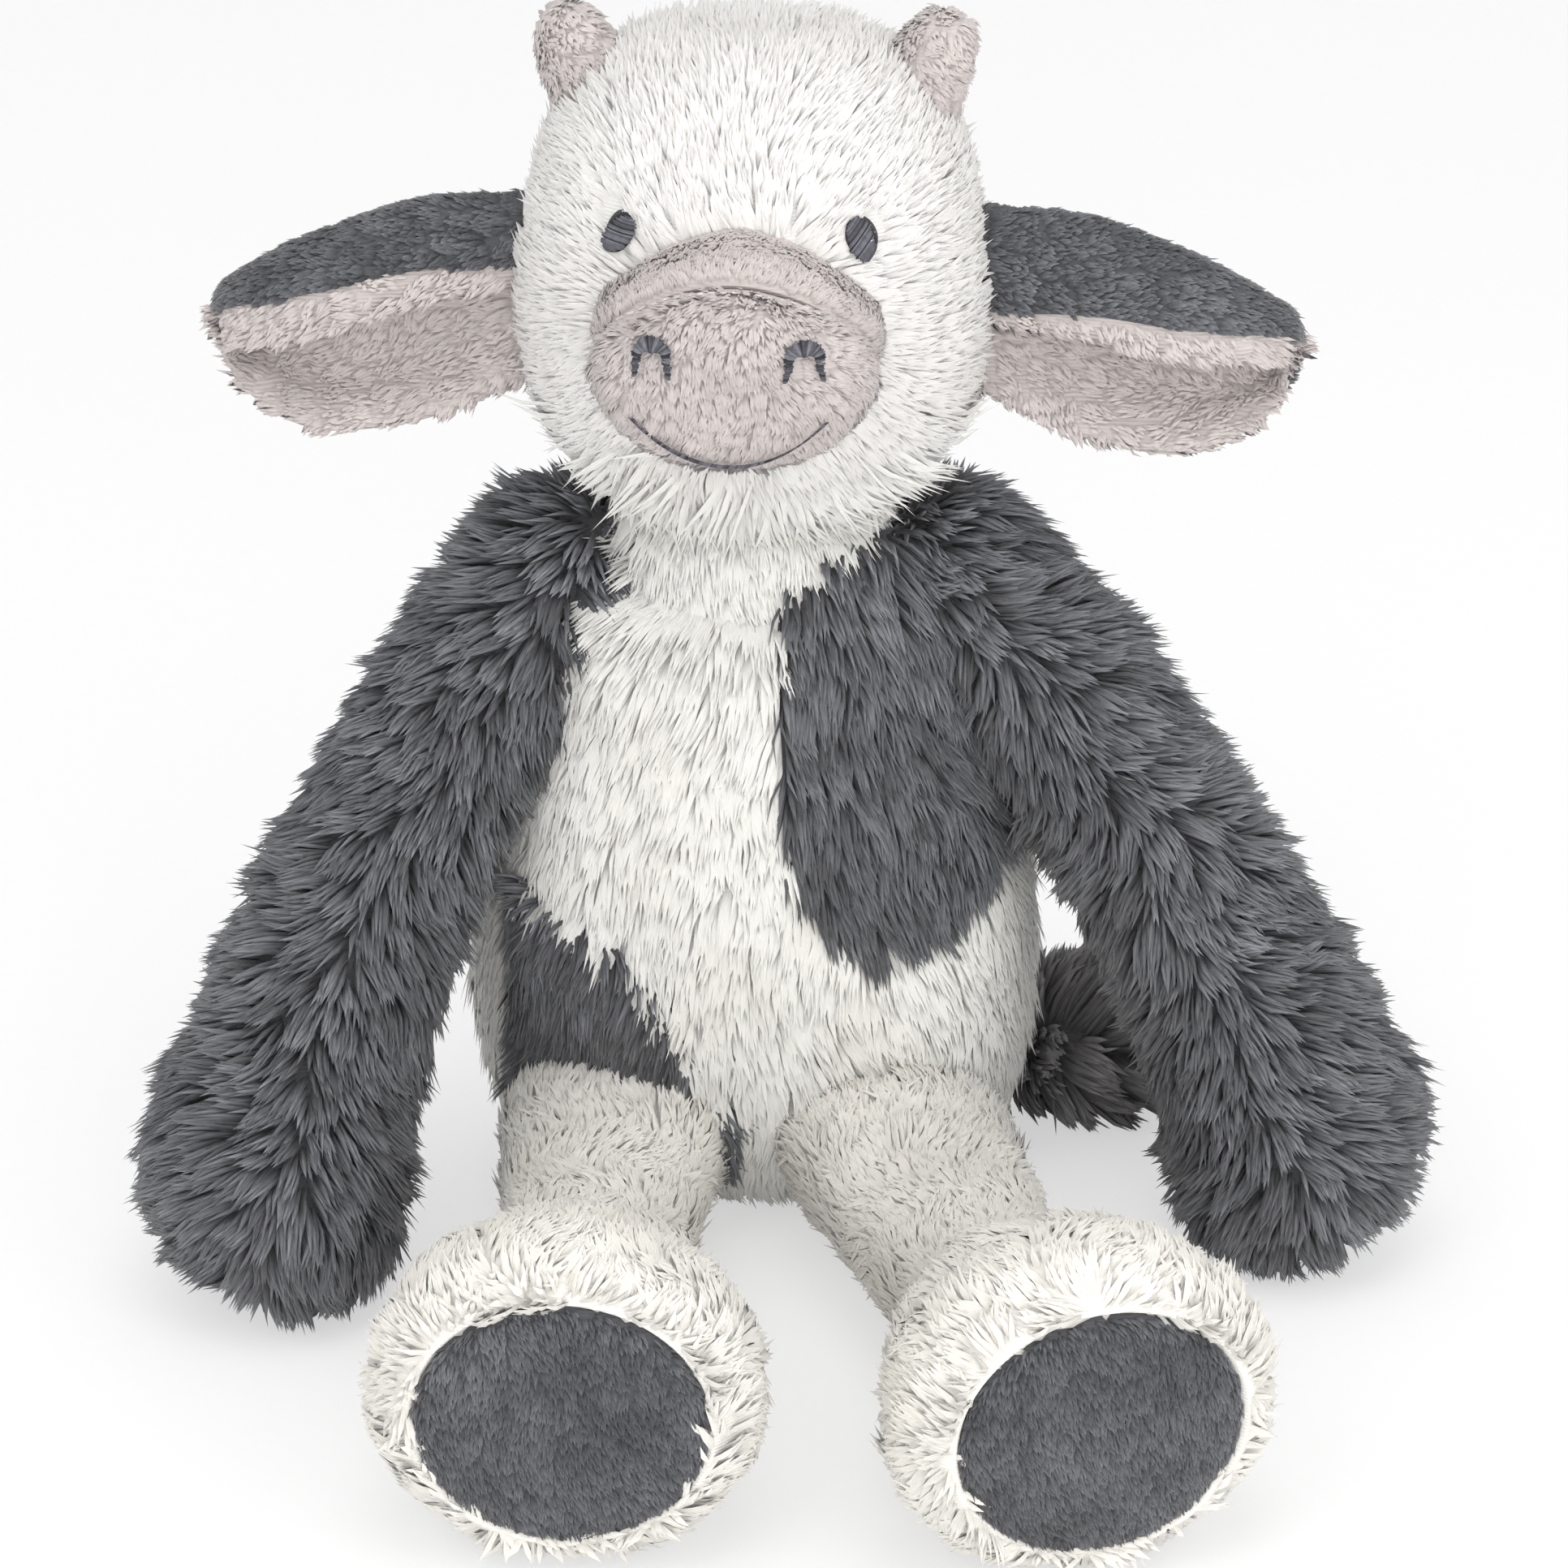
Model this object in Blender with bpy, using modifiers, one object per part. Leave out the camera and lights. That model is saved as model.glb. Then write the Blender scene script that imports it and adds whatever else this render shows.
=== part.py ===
"""A seated plush cow, as the sewn and stuffed pieces that it comes apart into.

Metres, +Z up. The cow faces -Y, and left and right are its own, so its left is at +X. The origin is the
middle of the flat that it sits on. Every cover is drawn at the outside of its lying pile.
"""

import math

import bmesh
import bpy
from mathutils import Matrix, Vector

# Clearances and overruns
CLEARANCE = 0.0003
RUNNING_CLEARANCE = 0.0008
OVERRUN = 0.020
FLAT_DEPTH = 0.0005
WELD = 0.00001

# Cover thicknesses, each cloth with its pile lying down
LONG_PILE_WALL = 0.0048
SHORT_PILE_WALL = 0.0024
SOLE_THICKNESS = 0.0030
STITCH_HEIGHT = 0.0012

# Body
BODY_HEIGHT = 0.154
BODY_HALF_WIDTH = 0.0625
BODY_HALF_DEPTH = 0.0485
BODY_LEAN = 0.004
# height, width, depth
BODY_RING_SHARES = (
    (0.000, 0.66, 0.54),
    (0.060, 0.88, 0.79),
    (0.190, 0.99, 0.97),
    (0.380, 1.01, 1.03),
    (0.560, 0.94, 0.97),
    (0.740, 0.80, 0.86),
    (0.900, 0.72, 0.77),
    (1.000, 0.60, 0.62),
)

# Head and the ball of the neck that it nods on
NECK_HEIGHT = 0.148
NECK_FORWARD = 0.006
NECK_RADIUS = 0.0310
HEAD_BASE_HEIGHT = 0.163
HEAD_HEIGHT = 0.100
HEAD_HALF_WIDTH = 0.0520
HEAD_HALF_DEPTH = 0.0480
HEAD_FORWARD = 0.013
HEAD_TURN = math.radians(-4.5)
# height, width, depth
HEAD_RING_SHARES = (
    (0.000, 0.42, 0.42),
    (0.070, 0.71, 0.71),
    (0.210, 0.91, 0.90),
    (0.420, 1.00, 1.00),
    (0.620, 0.95, 0.98),
    (0.790, 0.86, 0.90),
    (0.920, 0.68, 0.70),
    (1.000, 0.42, 0.42),
)

# Muzzle, carried forwards out of the head
MUZZLE_HEIGHT = 0.0470
MUZZLE_LENGTH = 0.0680
MUZZLE_HALF_WIDTH = 0.0300
MUZZLE_HALF_HEIGHT = 0.0235
MUZZLE_SEAM_HEIGHT = 0.0575
MUZZLE_SEAM_FORWARD = 0.050
MUZZLE_SEAM_SLOPE = math.radians(50)
# length, width, height, rise as a share of the half height
MUZZLE_RING_SHARES = (
    (0.40, 0.96, 1.00, 0.20),
    (0.62, 1.03, 1.04, 0.10),
    (0.80, 1.00, 0.98, 0.00),
    (0.93, 0.84, 0.80, -0.06),
    (1.00, 0.50, 0.48, -0.08),
)

# Embroidered face, placed across and above the head's base
EYE_SPREAD = 0.0238
EYE_HEIGHT = 0.0690
EYE_HALF_WIDTH = 0.0031
EYE_HALF_HEIGHT = 0.0046
EYE_SLANT = math.radians(17)
NOSTRIL_SPREAD = 0.0148
NOSTRIL_HEIGHT = 0.0530
NOSTRIL_HALF_WIDTH = 0.0034
NOSTRIL_LEG = 0.0036
NOSTRIL_STROKE = 0.0016
MOUTH_HEIGHT = 0.0395
MOUTH_HALF_WIDTH = 0.0190
MOUTH_SAG = 0.0122
MOUTH_STROKE = 0.0013

# Horns
HORN_SPREAD = 0.0290
HORN_HEIGHT = 0.0790
HORN_LENGTH = 0.0270
HORN_RADIUS = 0.0082
HORN_SPLAY = math.radians(25)
# length, radius
HORN_RING_SHARES = ((0.00, 1.08), (0.42, 1.00), (0.84, 0.82), (1.00, 0.46))

# Ears, each a lining and a back sewn rim to rim
EAR_ROOT_SPREAD = 0.0509
EAR_ROOT_HEIGHT = 0.0430
EAR_ROOT_BACK = 0.002
EAR_LENGTH = 0.0601
EAR_DEPTH = 0.0170
EAR_LAYER = 0.0026
EAR_HALF_HEIGHT = 0.0222
EAR_FLAP = math.radians(25)
# length, top and bottom as shares of the half height, depth
EAR_OUTLINE_SHARES = (
    (0.00, 0.86, -0.80, 0.30),
    (0.30, 0.88, -1.16, 0.75),
    (0.62, 0.60, -1.24, 1.00),
    (0.90, 0.16, -0.90, 0.82),
    (1.00, -0.16, -0.50, 0.50),
)
# forwards as a share of the depth, height as a share between bottom and top
EAR_SECTION_SHARES = ((0.70, 0.00), (0.02, 0.30), (-0.06, 0.76), (0.44, 1.04), (1.00, 0.82))

# Arms, each from a ball at the shoulder
SHOULDER_SPREAD = 0.0400
SHOULDER_HEIGHT = 0.1385
SHOULDER_FORWARD = 0.0020
SHOULDER_RADIUS = 0.0235
ARM_LENGTH = 0.1680
ARM_HALF_WIDTH = 0.0258
ARM_BOW = 0.0115
LEFT_ARM_FORWARD = math.radians(17)
RIGHT_ARM_FORWARD = math.radians(25)
LEFT_ARM_SPLAY = math.radians(31.6)
RIGHT_ARM_SPLAY = math.radians(26)
ARM_LIFT = math.radians(50)
# length, width, bow
ARM_RING_SHARES = (
    (0.14, 0.86, 0.60),
    (0.42, 0.88, 1.00),
    (0.68, 1.00, 0.88),
    (0.88, 1.12, 0.42),
    (0.98, 0.68, 0.22),
)

# Legs, each from a ball at the hip to a foot
HIP_SPREAD = 0.0300
LEFT_HIP_FORWARD = 0.0450
RIGHT_HIP_FORWARD = 0.0370
HIP_HEIGHT = 0.0262
HIP_RADIUS = 0.0252
LEG_LENGTH = 0.1370
LEG_HALF_WIDTH = 0.0245
FOOT_HALF_WIDTH = 0.0385
FOOT_HALF_HEIGHT = 0.0350
FOOT_RISE = 0.0083
LEFT_LEG_SPLAY = math.radians(15.5)
RIGHT_LEG_SPLAY = math.radians(3)
LEG_RAISE = math.radians(15)
LEG_HANG = math.radians(-60)
# length, width
LEG_RING_SHARES = ((0.16, 1.00), (0.56, 0.96))
# length, width and height as shares of the foot, rise
FOOT_RING_SHARES = (
    (0.72, 0.90, 0.92, 0.8),
    (0.84, 1.03, 1.03, 1.0),
    (0.94, 1.00, 1.00, 1.0),
    (1.00, 0.84, 0.84, 1.0),
)
SOLE_HALF_WIDTH = 0.0283
SOLE_HALF_HEIGHT = 0.0256

# Tail
TAIL_ROOT_HEIGHT = 0.0140
TAIL_ROOT_DEPTH = 0.0425
TAIL_ROOT_RADIUS = 0.0055
TAIL_RADIUS = 0.0036
TAIL_REACH = 0.0560
TAIL_BACK = 0.0150
TUFT_LENGTH = 0.0360
TUFT_RADIUS = 0.0182
TUFT_TURN = math.radians(-12)
TUFT_LIFT = math.radians(78)
# across as a share of the reach, back as a share of the tail's back, height as a share of its root height
TAIL_ROUTE_SHARES = (
    (0.00, 0.0, 1.00),
    (0.10, 0.6, 0.86),
    (0.34, 1.0, 0.80),
    (0.70, 0.3, 0.90),
    (1.04, -1.4, 1.00),
)
# length, radius
TUFT_RING_SHARES = ((0.00, 0.34), (0.22, 0.84), (0.50, 1.03), (0.78, 0.90), (1.00, 0.46))

# Fur panels in the body cover
CHEST_PATCH_SPREAD = 0.0320
CHEST_PATCH_HEIGHT = 0.1060
CHEST_PATCH_HALF_WIDTH = 0.0260
CHEST_PATCH_HALF_HEIGHT = 0.0415
HIP_PATCH_SPREAD = 0.0310
HIP_PATCH_HEIGHT = 0.0480
HIP_PATCH_HALF_WIDTH = 0.0320
HIP_PATCH_HALF_HEIGHT = 0.0290
CHEST_OUTLINE_SHARES = (
    (-0.90, 0.92), (-0.55, 1.00), (0.05, 1.00), (0.45, 0.80), (0.80, 0.35), (1.00, -0.25),
    (0.90, -0.65), (0.55, -0.90), (0.10, -1.00), (-0.50, -0.92), (-0.88, -0.60), (-1.00, 0.00),
)
HIP_OUTLINE_SHARES = (
    (-1.00, 0.95), (-0.40, 0.85), (0.10, 0.55), (0.38, 0.05), (0.66, -0.50),
    (0.82, -1.00), (0.30, -1.00), (-0.60, -0.95), (-1.00, -0.40),
)

# Cage and curve detail
BODY_SIDES = 14
LIMB_SIDES = 10
SMALL_SIDES = 8
BALL_SEGMENTS = 20
BALL_RING_ANGLES = (26, 66)
OUTLINE_POINTS = 12
LEFT, RIGHT = 1, -1
SIDES = (("left", LEFT), ("right", RIGHT))

PARTS = bpy.data.collections.new("plush_cow")
CUTTERS = bpy.data.collections.new("cutters")


def clear_scene():
    for obj in list(bpy.data.objects):
        bpy.data.objects.remove(obj, do_unlink=True)
    for collection in (PARTS, CUTTERS):
        bpy.context.scene.collection.children.link(collection)


def material(name, colour, roughness):
    made = bpy.data.materials.new(name)
    made.use_nodes = True
    shader = made.node_tree.nodes["Principled BSDF"]
    shader.inputs["Base Color"].default_value = (*colour, 1.0)
    shader.inputs["Roughness"].default_value = roughness
    shader.inputs["Metallic"].default_value = 0.0
    made.diffuse_color = (*colour, 1.0)
    return made


def materials():
    return {
        "white_fur": material("white_fur", (0.88, 0.88, 0.88), 0.95),
        "cream_fur": material("cream_fur", (0.86, 0.83, 0.78), 0.95),
        "charcoal_fur": material("charcoal_fur", (0.085, 0.087, 0.095), 0.95),
        "charcoal_pile": material("charcoal_pile", (0.070, 0.075, 0.080), 0.92),
        "taupe_pile": material("taupe_pile", (0.62, 0.55, 0.53), 0.92),
        "dark_tuft": material("dark_tuft", (0.035, 0.030, 0.029), 0.95),
        "thread": material("thread", (0.080, 0.085, 0.105), 0.55),
        "filling": material("filling", (0.80, 0.80, 0.78), 1.0),
    }


def mesh_object(name, mesh, collection):
    obj = bpy.data.objects.new(name, mesh)
    collection.objects.link(obj)
    if collection is CUTTERS:
        obj.hide_render = True
        obj.display_type = "WIRE"
    return obj


def empty(name, matrix):
    obj = bpy.data.objects.new(name, None)
    PARTS.objects.link(obj)
    obj.matrix_world = matrix
    return obj


def cage_growth(sides):
    """How much larger a ring of this many points is drawn, so that one subdivision brings it to size."""
    return 4.0 / (3.0 + math.cos(2.0 * math.pi / sides))


def ring(along, half_width, half_depth, across=0.0, forward=0.0):
    """One section of a stuffed form, square to its Z. A positive forward lies towards -Y."""
    return along, half_width, half_depth, across, forward


def ball_rings(radius):
    """The rings of a round end about the origin, from its pole down to its middle."""
    angles = [math.radians(a) for a in BALL_RING_ANGLES]
    return [ring(radius * math.cos(a), radius * math.sin(a), radius * math.sin(a)) for a in angles]


def cage_mesh(name, rings, sides, larger, grow):
    """A closed cage through the rings, drawn larger by this factor. grow moves its sides and ends out."""
    ends = min(rings)[0], max(rings)[0]
    shape = bmesh.new()
    loops = []
    for along, half_width, half_depth, across, forward in sorted(rings):
        height = along - grow if along == ends[0] else along + grow if along == ends[1] else along
        loop = []
        for i in range(sides):
            turn = 2.0 * math.pi * (i + 0.5) / sides
            x = across + (half_width + grow) * larger * math.cos(turn)
            y = -forward + (half_depth + grow) * larger * math.sin(turn)
            loop.append(shape.verts.new((x, y, height)))
        loops.append(loop)
    for low, high in zip(loops, loops[1:]):
        for i in range(sides):
            j = (i + 1) % sides
            shape.faces.new((low[i], low[j], high[j], high[i]))
    shape.faces.new(loops[0][::-1])
    shape.faces.new(loops[-1])
    mesh = bpy.data.meshes.new(name)
    shape.to_mesh(mesh)
    shape.free()
    return mesh


def form(name, rings, sides, matrix, grow=0.0, collection=CUTTERS):
    """A stuffed form: a coarse cage softened by a Subdivision Surface."""
    obj = mesh_object(name, cage_mesh(name, rings, sides, cage_growth(sides), grow), collection)
    obj.matrix_world = matrix
    soften = obj.modifiers.new("soften", "SUBSURF")
    soften.levels = 1
    soften.render_levels = 1
    return obj


def core(name, rings, sides, matrix, inset, collection=CUTTERS):
    """The plain cage this far inside a form: the hollow of its cover, or the filling in that hollow."""
    obj = mesh_object(name, cage_mesh(name, rings, sides, 1.0, -inset), collection)
    obj.matrix_world = matrix
    return obj


def ball(name, radius, place):
    mesh = bpy.data.meshes.new(name)
    shape = bmesh.new()
    bmesh.ops.create_uvsphere(shape, u_segments=BALL_SEGMENTS, v_segments=BALL_SEGMENTS // 2, radius=radius)
    shape.to_mesh(mesh)
    shape.free()
    obj = mesh_object(name, mesh, CUTTERS)
    obj.matrix_world = Matrix.Translation(place)
    return obj


def box(name, low, high, matrix=Matrix()):
    mesh = bpy.data.meshes.new(name)
    shape = bmesh.new()
    size = Vector(high) - Vector(low)
    middle = (Vector(high) + Vector(low)) / 2.0
    bmesh.ops.create_cube(shape, size=1.0, matrix=Matrix.Translation(middle) @ Matrix.Diagonal((*size, 1.0)))
    shape.to_mesh(mesh)
    shape.free()
    obj = mesh_object(name, mesh, CUTTERS)
    obj.matrix_world = matrix
    return obj


def closed_mesh_of(curve_object, name, collection):
    """The curve as a closed mesh in its place, with its caps joined to its sides."""
    bpy.context.view_layer.update()
    graph = bpy.context.evaluated_depsgraph_get()
    mesh = bpy.data.meshes.new_from_object(curve_object.evaluated_get(graph))
    shape = bmesh.new()
    shape.from_mesh(mesh)
    bmesh.ops.remove_doubles(shape, verts=shape.verts, dist=WELD)
    bmesh.ops.recalc_face_normals(shape, faces=shape.faces)
    shape.to_mesh(mesh)
    shape.free()
    obj = mesh_object(name, mesh, collection)
    obj.matrix_world = curve_object.matrix_world.copy()
    bpy.data.objects.remove(curve_object, do_unlink=True)
    return obj


def prism(name, outline, half_length, matrix):
    """A flat outline in X and Z, carried half_length to each side along Y."""
    curve = bpy.data.curves.new(name + "_outline", "CURVE")
    curve.dimensions = "2D"
    curve.fill_mode = "BOTH"
    curve.extrude = half_length
    spline = curve.splines.new("POLY")
    spline.points.add(len(outline) - 1)
    for point, (x, z) in zip(spline.points, outline):
        point.co = (x, z, 0.0, 1.0)
    spline.use_cyclic_u = True
    guide = mesh_object(name + "_guide", curve, CUTTERS)
    guide.matrix_world = matrix @ Matrix.Rotation(math.pi / 2.0, 4, "X")
    return closed_mesh_of(guide, name, CUTTERS)


def boolean(obj, operation, other):
    step = obj.modifiers.new(f"{operation.lower()}_{other.name}", "BOOLEAN")
    step.operation = operation
    step.solver = "EXACT"
    step.object = other


def cut(obj, *others):
    for other in others:
        boolean(obj, "DIFFERENCE", other)


def finish(obj, look, parent):
    """Gives a part its material, its carrier and smooth shading."""
    obj.data.materials.clear()
    obj.data.materials.append(look)
    obj.data.shade_smooth()
    held = obj.matrix_world.copy()
    obj.parent = parent
    obj.matrix_parent_inverse = Matrix()
    obj.matrix_world = held


def place_of(side, spread, forward, height):
    return Vector((side * spread, -forward, height))


def body_rings():
    return [
        ring(h * BODY_HEIGHT - FLAT_DEPTH, w * BODY_HALF_WIDTH, d * BODY_HALF_DEPTH, forward=h * BODY_LEAN)
        for h, w, d in BODY_RING_SHARES
    ]


def head_rings():
    return [ring(h * HEAD_HEIGHT, w * HEAD_HALF_WIDTH, d * HEAD_HALF_DEPTH) for h, w, d in HEAD_RING_SHARES]


def muzzle_rings():
    """The muzzle's Z runs from the head's middle to its front, and its +Y is down."""
    tall = MUZZLE_HALF_HEIGHT
    return [
        ring(-a * MUZZLE_LENGTH, w * MUZZLE_HALF_WIDTH, h * tall, forward=r * tall)
        for a, w, h, r in MUZZLE_RING_SHARES
    ]


def horn_rings():
    return [ring(a * HORN_LENGTH, r * HORN_RADIUS, r * HORN_RADIUS) for a, r in HORN_RING_SHARES]


def arm_rings(side):
    rings = ball_rings(SHOULDER_RADIUS)
    for a, w, b in ARM_RING_SHARES:
        rings.append(ring(-a * ARM_LENGTH, w * ARM_HALF_WIDTH, w * ARM_HALF_WIDTH, across=side * b * ARM_BOW))
    return rings


def leg_rings():
    rings = ball_rings(HIP_RADIUS)
    rings += [ring(-a * LEG_LENGTH, w * LEG_HALF_WIDTH, w * LEG_HALF_WIDTH) for a, w in LEG_RING_SHARES]
    for a, w, h, r in FOOT_RING_SHARES:
        rings.append(ring(-a * LEG_LENGTH, w * FOOT_HALF_WIDTH, h * FOOT_HALF_HEIGHT, forward=r * FOOT_RISE))
    return rings


def tuft_rings():
    return [ring(a * TUFT_LENGTH, r * TUFT_RADIUS, r * TUFT_RADIUS) for a, r in TUFT_RING_SHARES]


def shoulder_matrix(side, lift=0.0):
    """Where an arm's own frame stands, with its -Z down the arm, when the arm is lifted outwards this far."""
    splay = LEFT_ARM_SPLAY if side == LEFT else RIGHT_ARM_SPLAY
    forward = LEFT_ARM_FORWARD if side == LEFT else RIGHT_ARM_FORWARD
    turned = Matrix.Rotation(-side * (splay + lift), 4, "Y") @ Matrix.Rotation(-forward, 4, "X")
    return Matrix.Translation(place_of(side, SHOULDER_SPREAD, SHOULDER_FORWARD, SHOULDER_HEIGHT)) @ turned


def hip_matrix(side, lift=0.0):
    """Where a leg's own frame stands, with its -Z along the leg and its -Y up, when it is raised this far."""
    splay = LEFT_LEG_SPLAY if side == LEFT else -RIGHT_LEG_SPLAY
    forward = LEFT_HIP_FORWARD if side == LEFT else RIGHT_HIP_FORWARD
    turned = Matrix.Rotation(splay, 4, "Z") @ Matrix.Rotation(-math.pi / 2.0 - lift, 4, "X")
    return Matrix.Translation(place_of(side, HIP_SPREAD, forward, HIP_HEIGHT)) @ turned


def head_matrix():
    """The head's frame: on the middle of its base, turned to one side."""
    return Matrix.Translation((0.0, -HEAD_FORWARD, HEAD_BASE_HEIGHT)) @ Matrix.Rotation(HEAD_TURN, 4, "Z")


def ear_matrix(side, flap=0.0):
    """The ear's frame at its root, swung forwards this far about the upright line of the root."""
    root = Matrix.Translation((side * EAR_ROOT_SPREAD, EAR_ROOT_BACK, EAR_ROOT_HEIGHT))
    return head_matrix() @ root @ Matrix.Rotation(-side * flap, 4, "Z")


def tail_place():
    return Vector((0.0, TAIL_ROOT_DEPTH, TAIL_ROOT_HEIGHT))


def floor_cutter():
    reach = BODY_HEIGHT + ARM_LENGTH + LEG_LENGTH
    return box("floor_cutter", (-reach, -reach, -reach), (reach, reach, 0.0))


def limb_cutters():
    """What the limbs need clear of the body: a ball at each joint, and the limb where it lies and swings."""
    cutters = []
    for word, side in SIDES:
        shoulder = shoulder_matrix(side).translation
        hip = hip_matrix(side).translation
        cutters.append(ball(f"shoulder_{word}_socket", SHOULDER_RADIUS + RUNNING_CLEARANCE, shoulder))
        cutters.append(ball(f"hip_{word}_socket", HIP_RADIUS + RUNNING_CLEARANCE, hip))
        for lift in (0.0, ARM_LIFT / 2.0, ARM_LIFT):
            matrix = shoulder_matrix(side, lift)
            cutters.append(form(f"arm_{word}_room", arm_rings(side), LIMB_SIDES, matrix, RUNNING_CLEARANCE))
        for lift in (LEG_RAISE, 0.0, LEG_HANG / 2.0, LEG_HANG):
            matrix = hip_matrix(side, lift)
            cutters.append(form(f"leg_{word}_room", leg_rings(), LIMB_SIDES, matrix, RUNNING_CLEARANCE))
    cutters.append(ball("tail_socket", TAIL_ROOT_RADIUS + RUNNING_CLEARANCE, tail_place()))
    return cutters


def smooth_outline(half_width, half_height, shares):
    """A closed outline through the shares of its half sizes, with its corners rounded."""
    corners = [Vector((a * half_width, h * half_height)) for a, h in shares]
    points = []
    for i, here in enumerate(corners):
        before = corners[i - 1]
        after = corners[(i + 1) % len(corners)]
        points.append((before + 3.0 * here) / 4.0)
        points.append((3.0 * here + after) / 4.0)
    return points


def chest_prism(name, grow):
    """A cutter through the front of the body cover, with the chest panel's outline moved outwards by grow."""
    wide, tall = CHEST_PATCH_HALF_WIDTH + grow, CHEST_PATCH_HALF_HEIGHT + grow
    outline = smooth_outline(wide, tall, CHEST_OUTLINE_SHARES)
    return front_prism(name, outline, CHEST_PATCH_SPREAD, CHEST_PATCH_HEIGHT)


def hip_prism(name, grow):
    """The same for the panel on the right hip."""
    wide, tall = HIP_PATCH_HALF_WIDTH + grow, HIP_PATCH_HALF_HEIGHT + grow
    outline = smooth_outline(wide, tall, HIP_OUTLINE_SHARES)
    return front_prism(name, outline, -HIP_PATCH_SPREAD, HIP_PATCH_HEIGHT)


def front_prism(name, outline, across, height):
    half_length = BODY_HALF_DEPTH / 2.0 + OVERRUN
    return prism(name, outline, half_length, Matrix.Translation((across, -half_length, height)))


def make_body(looks, body, floor, rooms):
    cavity = core("body_cavity", body_rings(), BODY_SIDES, Matrix(), LONG_PILE_WALL)
    neck = ball("neck_ball", NECK_RADIUS, (0.0, -NECK_FORWARD, NECK_HEIGHT))
    patches = (("chest_patch", chest_prism), ("hip_patch", hip_prism))
    windows = [prism_of(name + "_window", CLEARANCE) for name, prism_of in patches]
    skin = form("body_skin", body_rings(), BODY_SIDES, Matrix(), collection=PARTS)
    boolean(skin, "UNION", neck)
    cut(skin, floor, cavity, *rooms, *windows)
    finish(skin, looks["white_fur"], body)
    for name, prism_of in patches:
        patch = form(name, body_rings(), BODY_SIDES, Matrix(), collection=PARTS)
        boolean(patch, "INTERSECT", prism_of(name + "_piece", 0.0))
        cut(patch, floor, cavity, *rooms)
        finish(patch, looks["charcoal_fur"], body)
    filling = core("body_stuffing", body_rings(), BODY_SIDES, Matrix(), LONG_PILE_WALL + CLEARANCE, PARTS)
    cut(filling, *rooms)
    finish(filling, looks["filling"], body)


def head_form(name, grow, collection=CUTTERS):
    return form(name, head_rings(), BODY_SIDES, head_matrix(), grow, collection)


def make_head(looks, head):
    neck = ball("neck_socket", NECK_RADIUS + RUNNING_CLEARANCE, (0.0, -NECK_FORWARD, NECK_HEIGHT))
    skin = head_form("head_skin", 0.0, PARTS)
    cut(skin, core("head_cavity", head_rings(), BODY_SIDES, head_matrix(), LONG_PILE_WALL), neck)
    finish(skin, looks["white_fur"], head)
    inset = LONG_PILE_WALL + CLEARANCE
    filling = core("head_stuffing", head_rings(), BODY_SIDES, head_matrix(), inset, PARTS)
    cut(filling, neck)
    finish(filling, looks["filling"], head)


def muzzle_matrix():
    """A frame at the muzzle's height in the head, with its -Z forwards and its -Y up."""
    raised = Matrix.Translation((0.0, 0.0, MUZZLE_HEIGHT))
    return head_matrix() @ raised @ Matrix.Rotation(-math.pi / 2.0, 4, "X")


def muzzle_form(name, grow, collection=CUTTERS):
    return form(name, muzzle_rings(), LIMB_SIDES, muzzle_matrix(), grow, collection)


def seam_side(name, above):
    """A cutter for all above or below the stitched seam, which climbs towards the muzzle's front."""
    point = Matrix.Translation((0.0, -MUZZLE_SEAM_FORWARD, MUZZLE_SEAM_HEIGHT))
    tilt = point @ Matrix.Rotation(-MUZZLE_SEAM_SLOPE, 4, "X")
    reach = MUZZLE_LENGTH + OVERRUN
    half_gap = CLEARANCE / 2.0
    low, high = (-half_gap, reach) if above else (-reach, half_gap)
    return box(name, (-reach, -reach, low), (reach, reach, high), head_matrix() @ tilt)


def make_muzzle(looks, head):
    face = head_form("face_under_muzzle", CLEARANCE)
    cavity = core("muzzle_cavity", muzzle_rings(), LIMB_SIDES, muzzle_matrix(), SHORT_PILE_WALL)
    for name, above in (("muzzle_bridge", False), ("muzzle_pad", True)):
        piece = muzzle_form(name, 0.0, PARTS)
        cut(piece, cavity, face, seam_side(name + "_side", above))
        finish(piece, looks["taupe_pile"], head)
    inset = SHORT_PILE_WALL + CLEARANCE
    filling = core("muzzle_stuffing", muzzle_rings(), LIMB_SIDES, muzzle_matrix(), inset, PARTS)
    cut(filling, face)
    finish(filling, looks["filling"], head)


def oval(half_width, half_height, slant):
    points = []
    for i in range(OUTLINE_POINTS):
        turn = 2.0 * math.pi * i / OUTLINE_POINTS
        x = half_width * math.cos(turn)
        z = half_height * math.sin(turn)
        points.append((x * math.cos(slant) - z * math.sin(slant), x * math.sin(slant) + z * math.cos(slant)))
    return points


def arch(half_width, leg, stroke):
    """An arch with two legs, as wide as the stroke all the way round."""
    steps = [math.pi * i / (OUTLINE_POINTS // 2) for i in range(OUTLINE_POINTS // 2 + 1)]
    outer = [(half_width * math.cos(a), half_width * math.sin(a)) for a in steps]
    within = half_width - stroke
    inner = [(within * math.cos(a), within * math.sin(a)) for a in reversed(steps)]
    return [(half_width, -leg), *outer, (-half_width, -leg), (-within, -leg), *inner, (within, -leg)]


def smile(half_width, sag, stroke):
    """A crescent that hangs by sag in its middle and is pointed at its ends."""
    shares = [2.0 * i / OUTLINE_POINTS - 1.0 for i in range(OUTLINE_POINTS + 1)]
    low = [(s * half_width, sag * (s * s - 1.0)) for s in shares]
    high = [(s * half_width, (sag - stroke) * (s * s - 1.0)) for s in reversed(shares[1:-1])]
    return low + high


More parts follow.
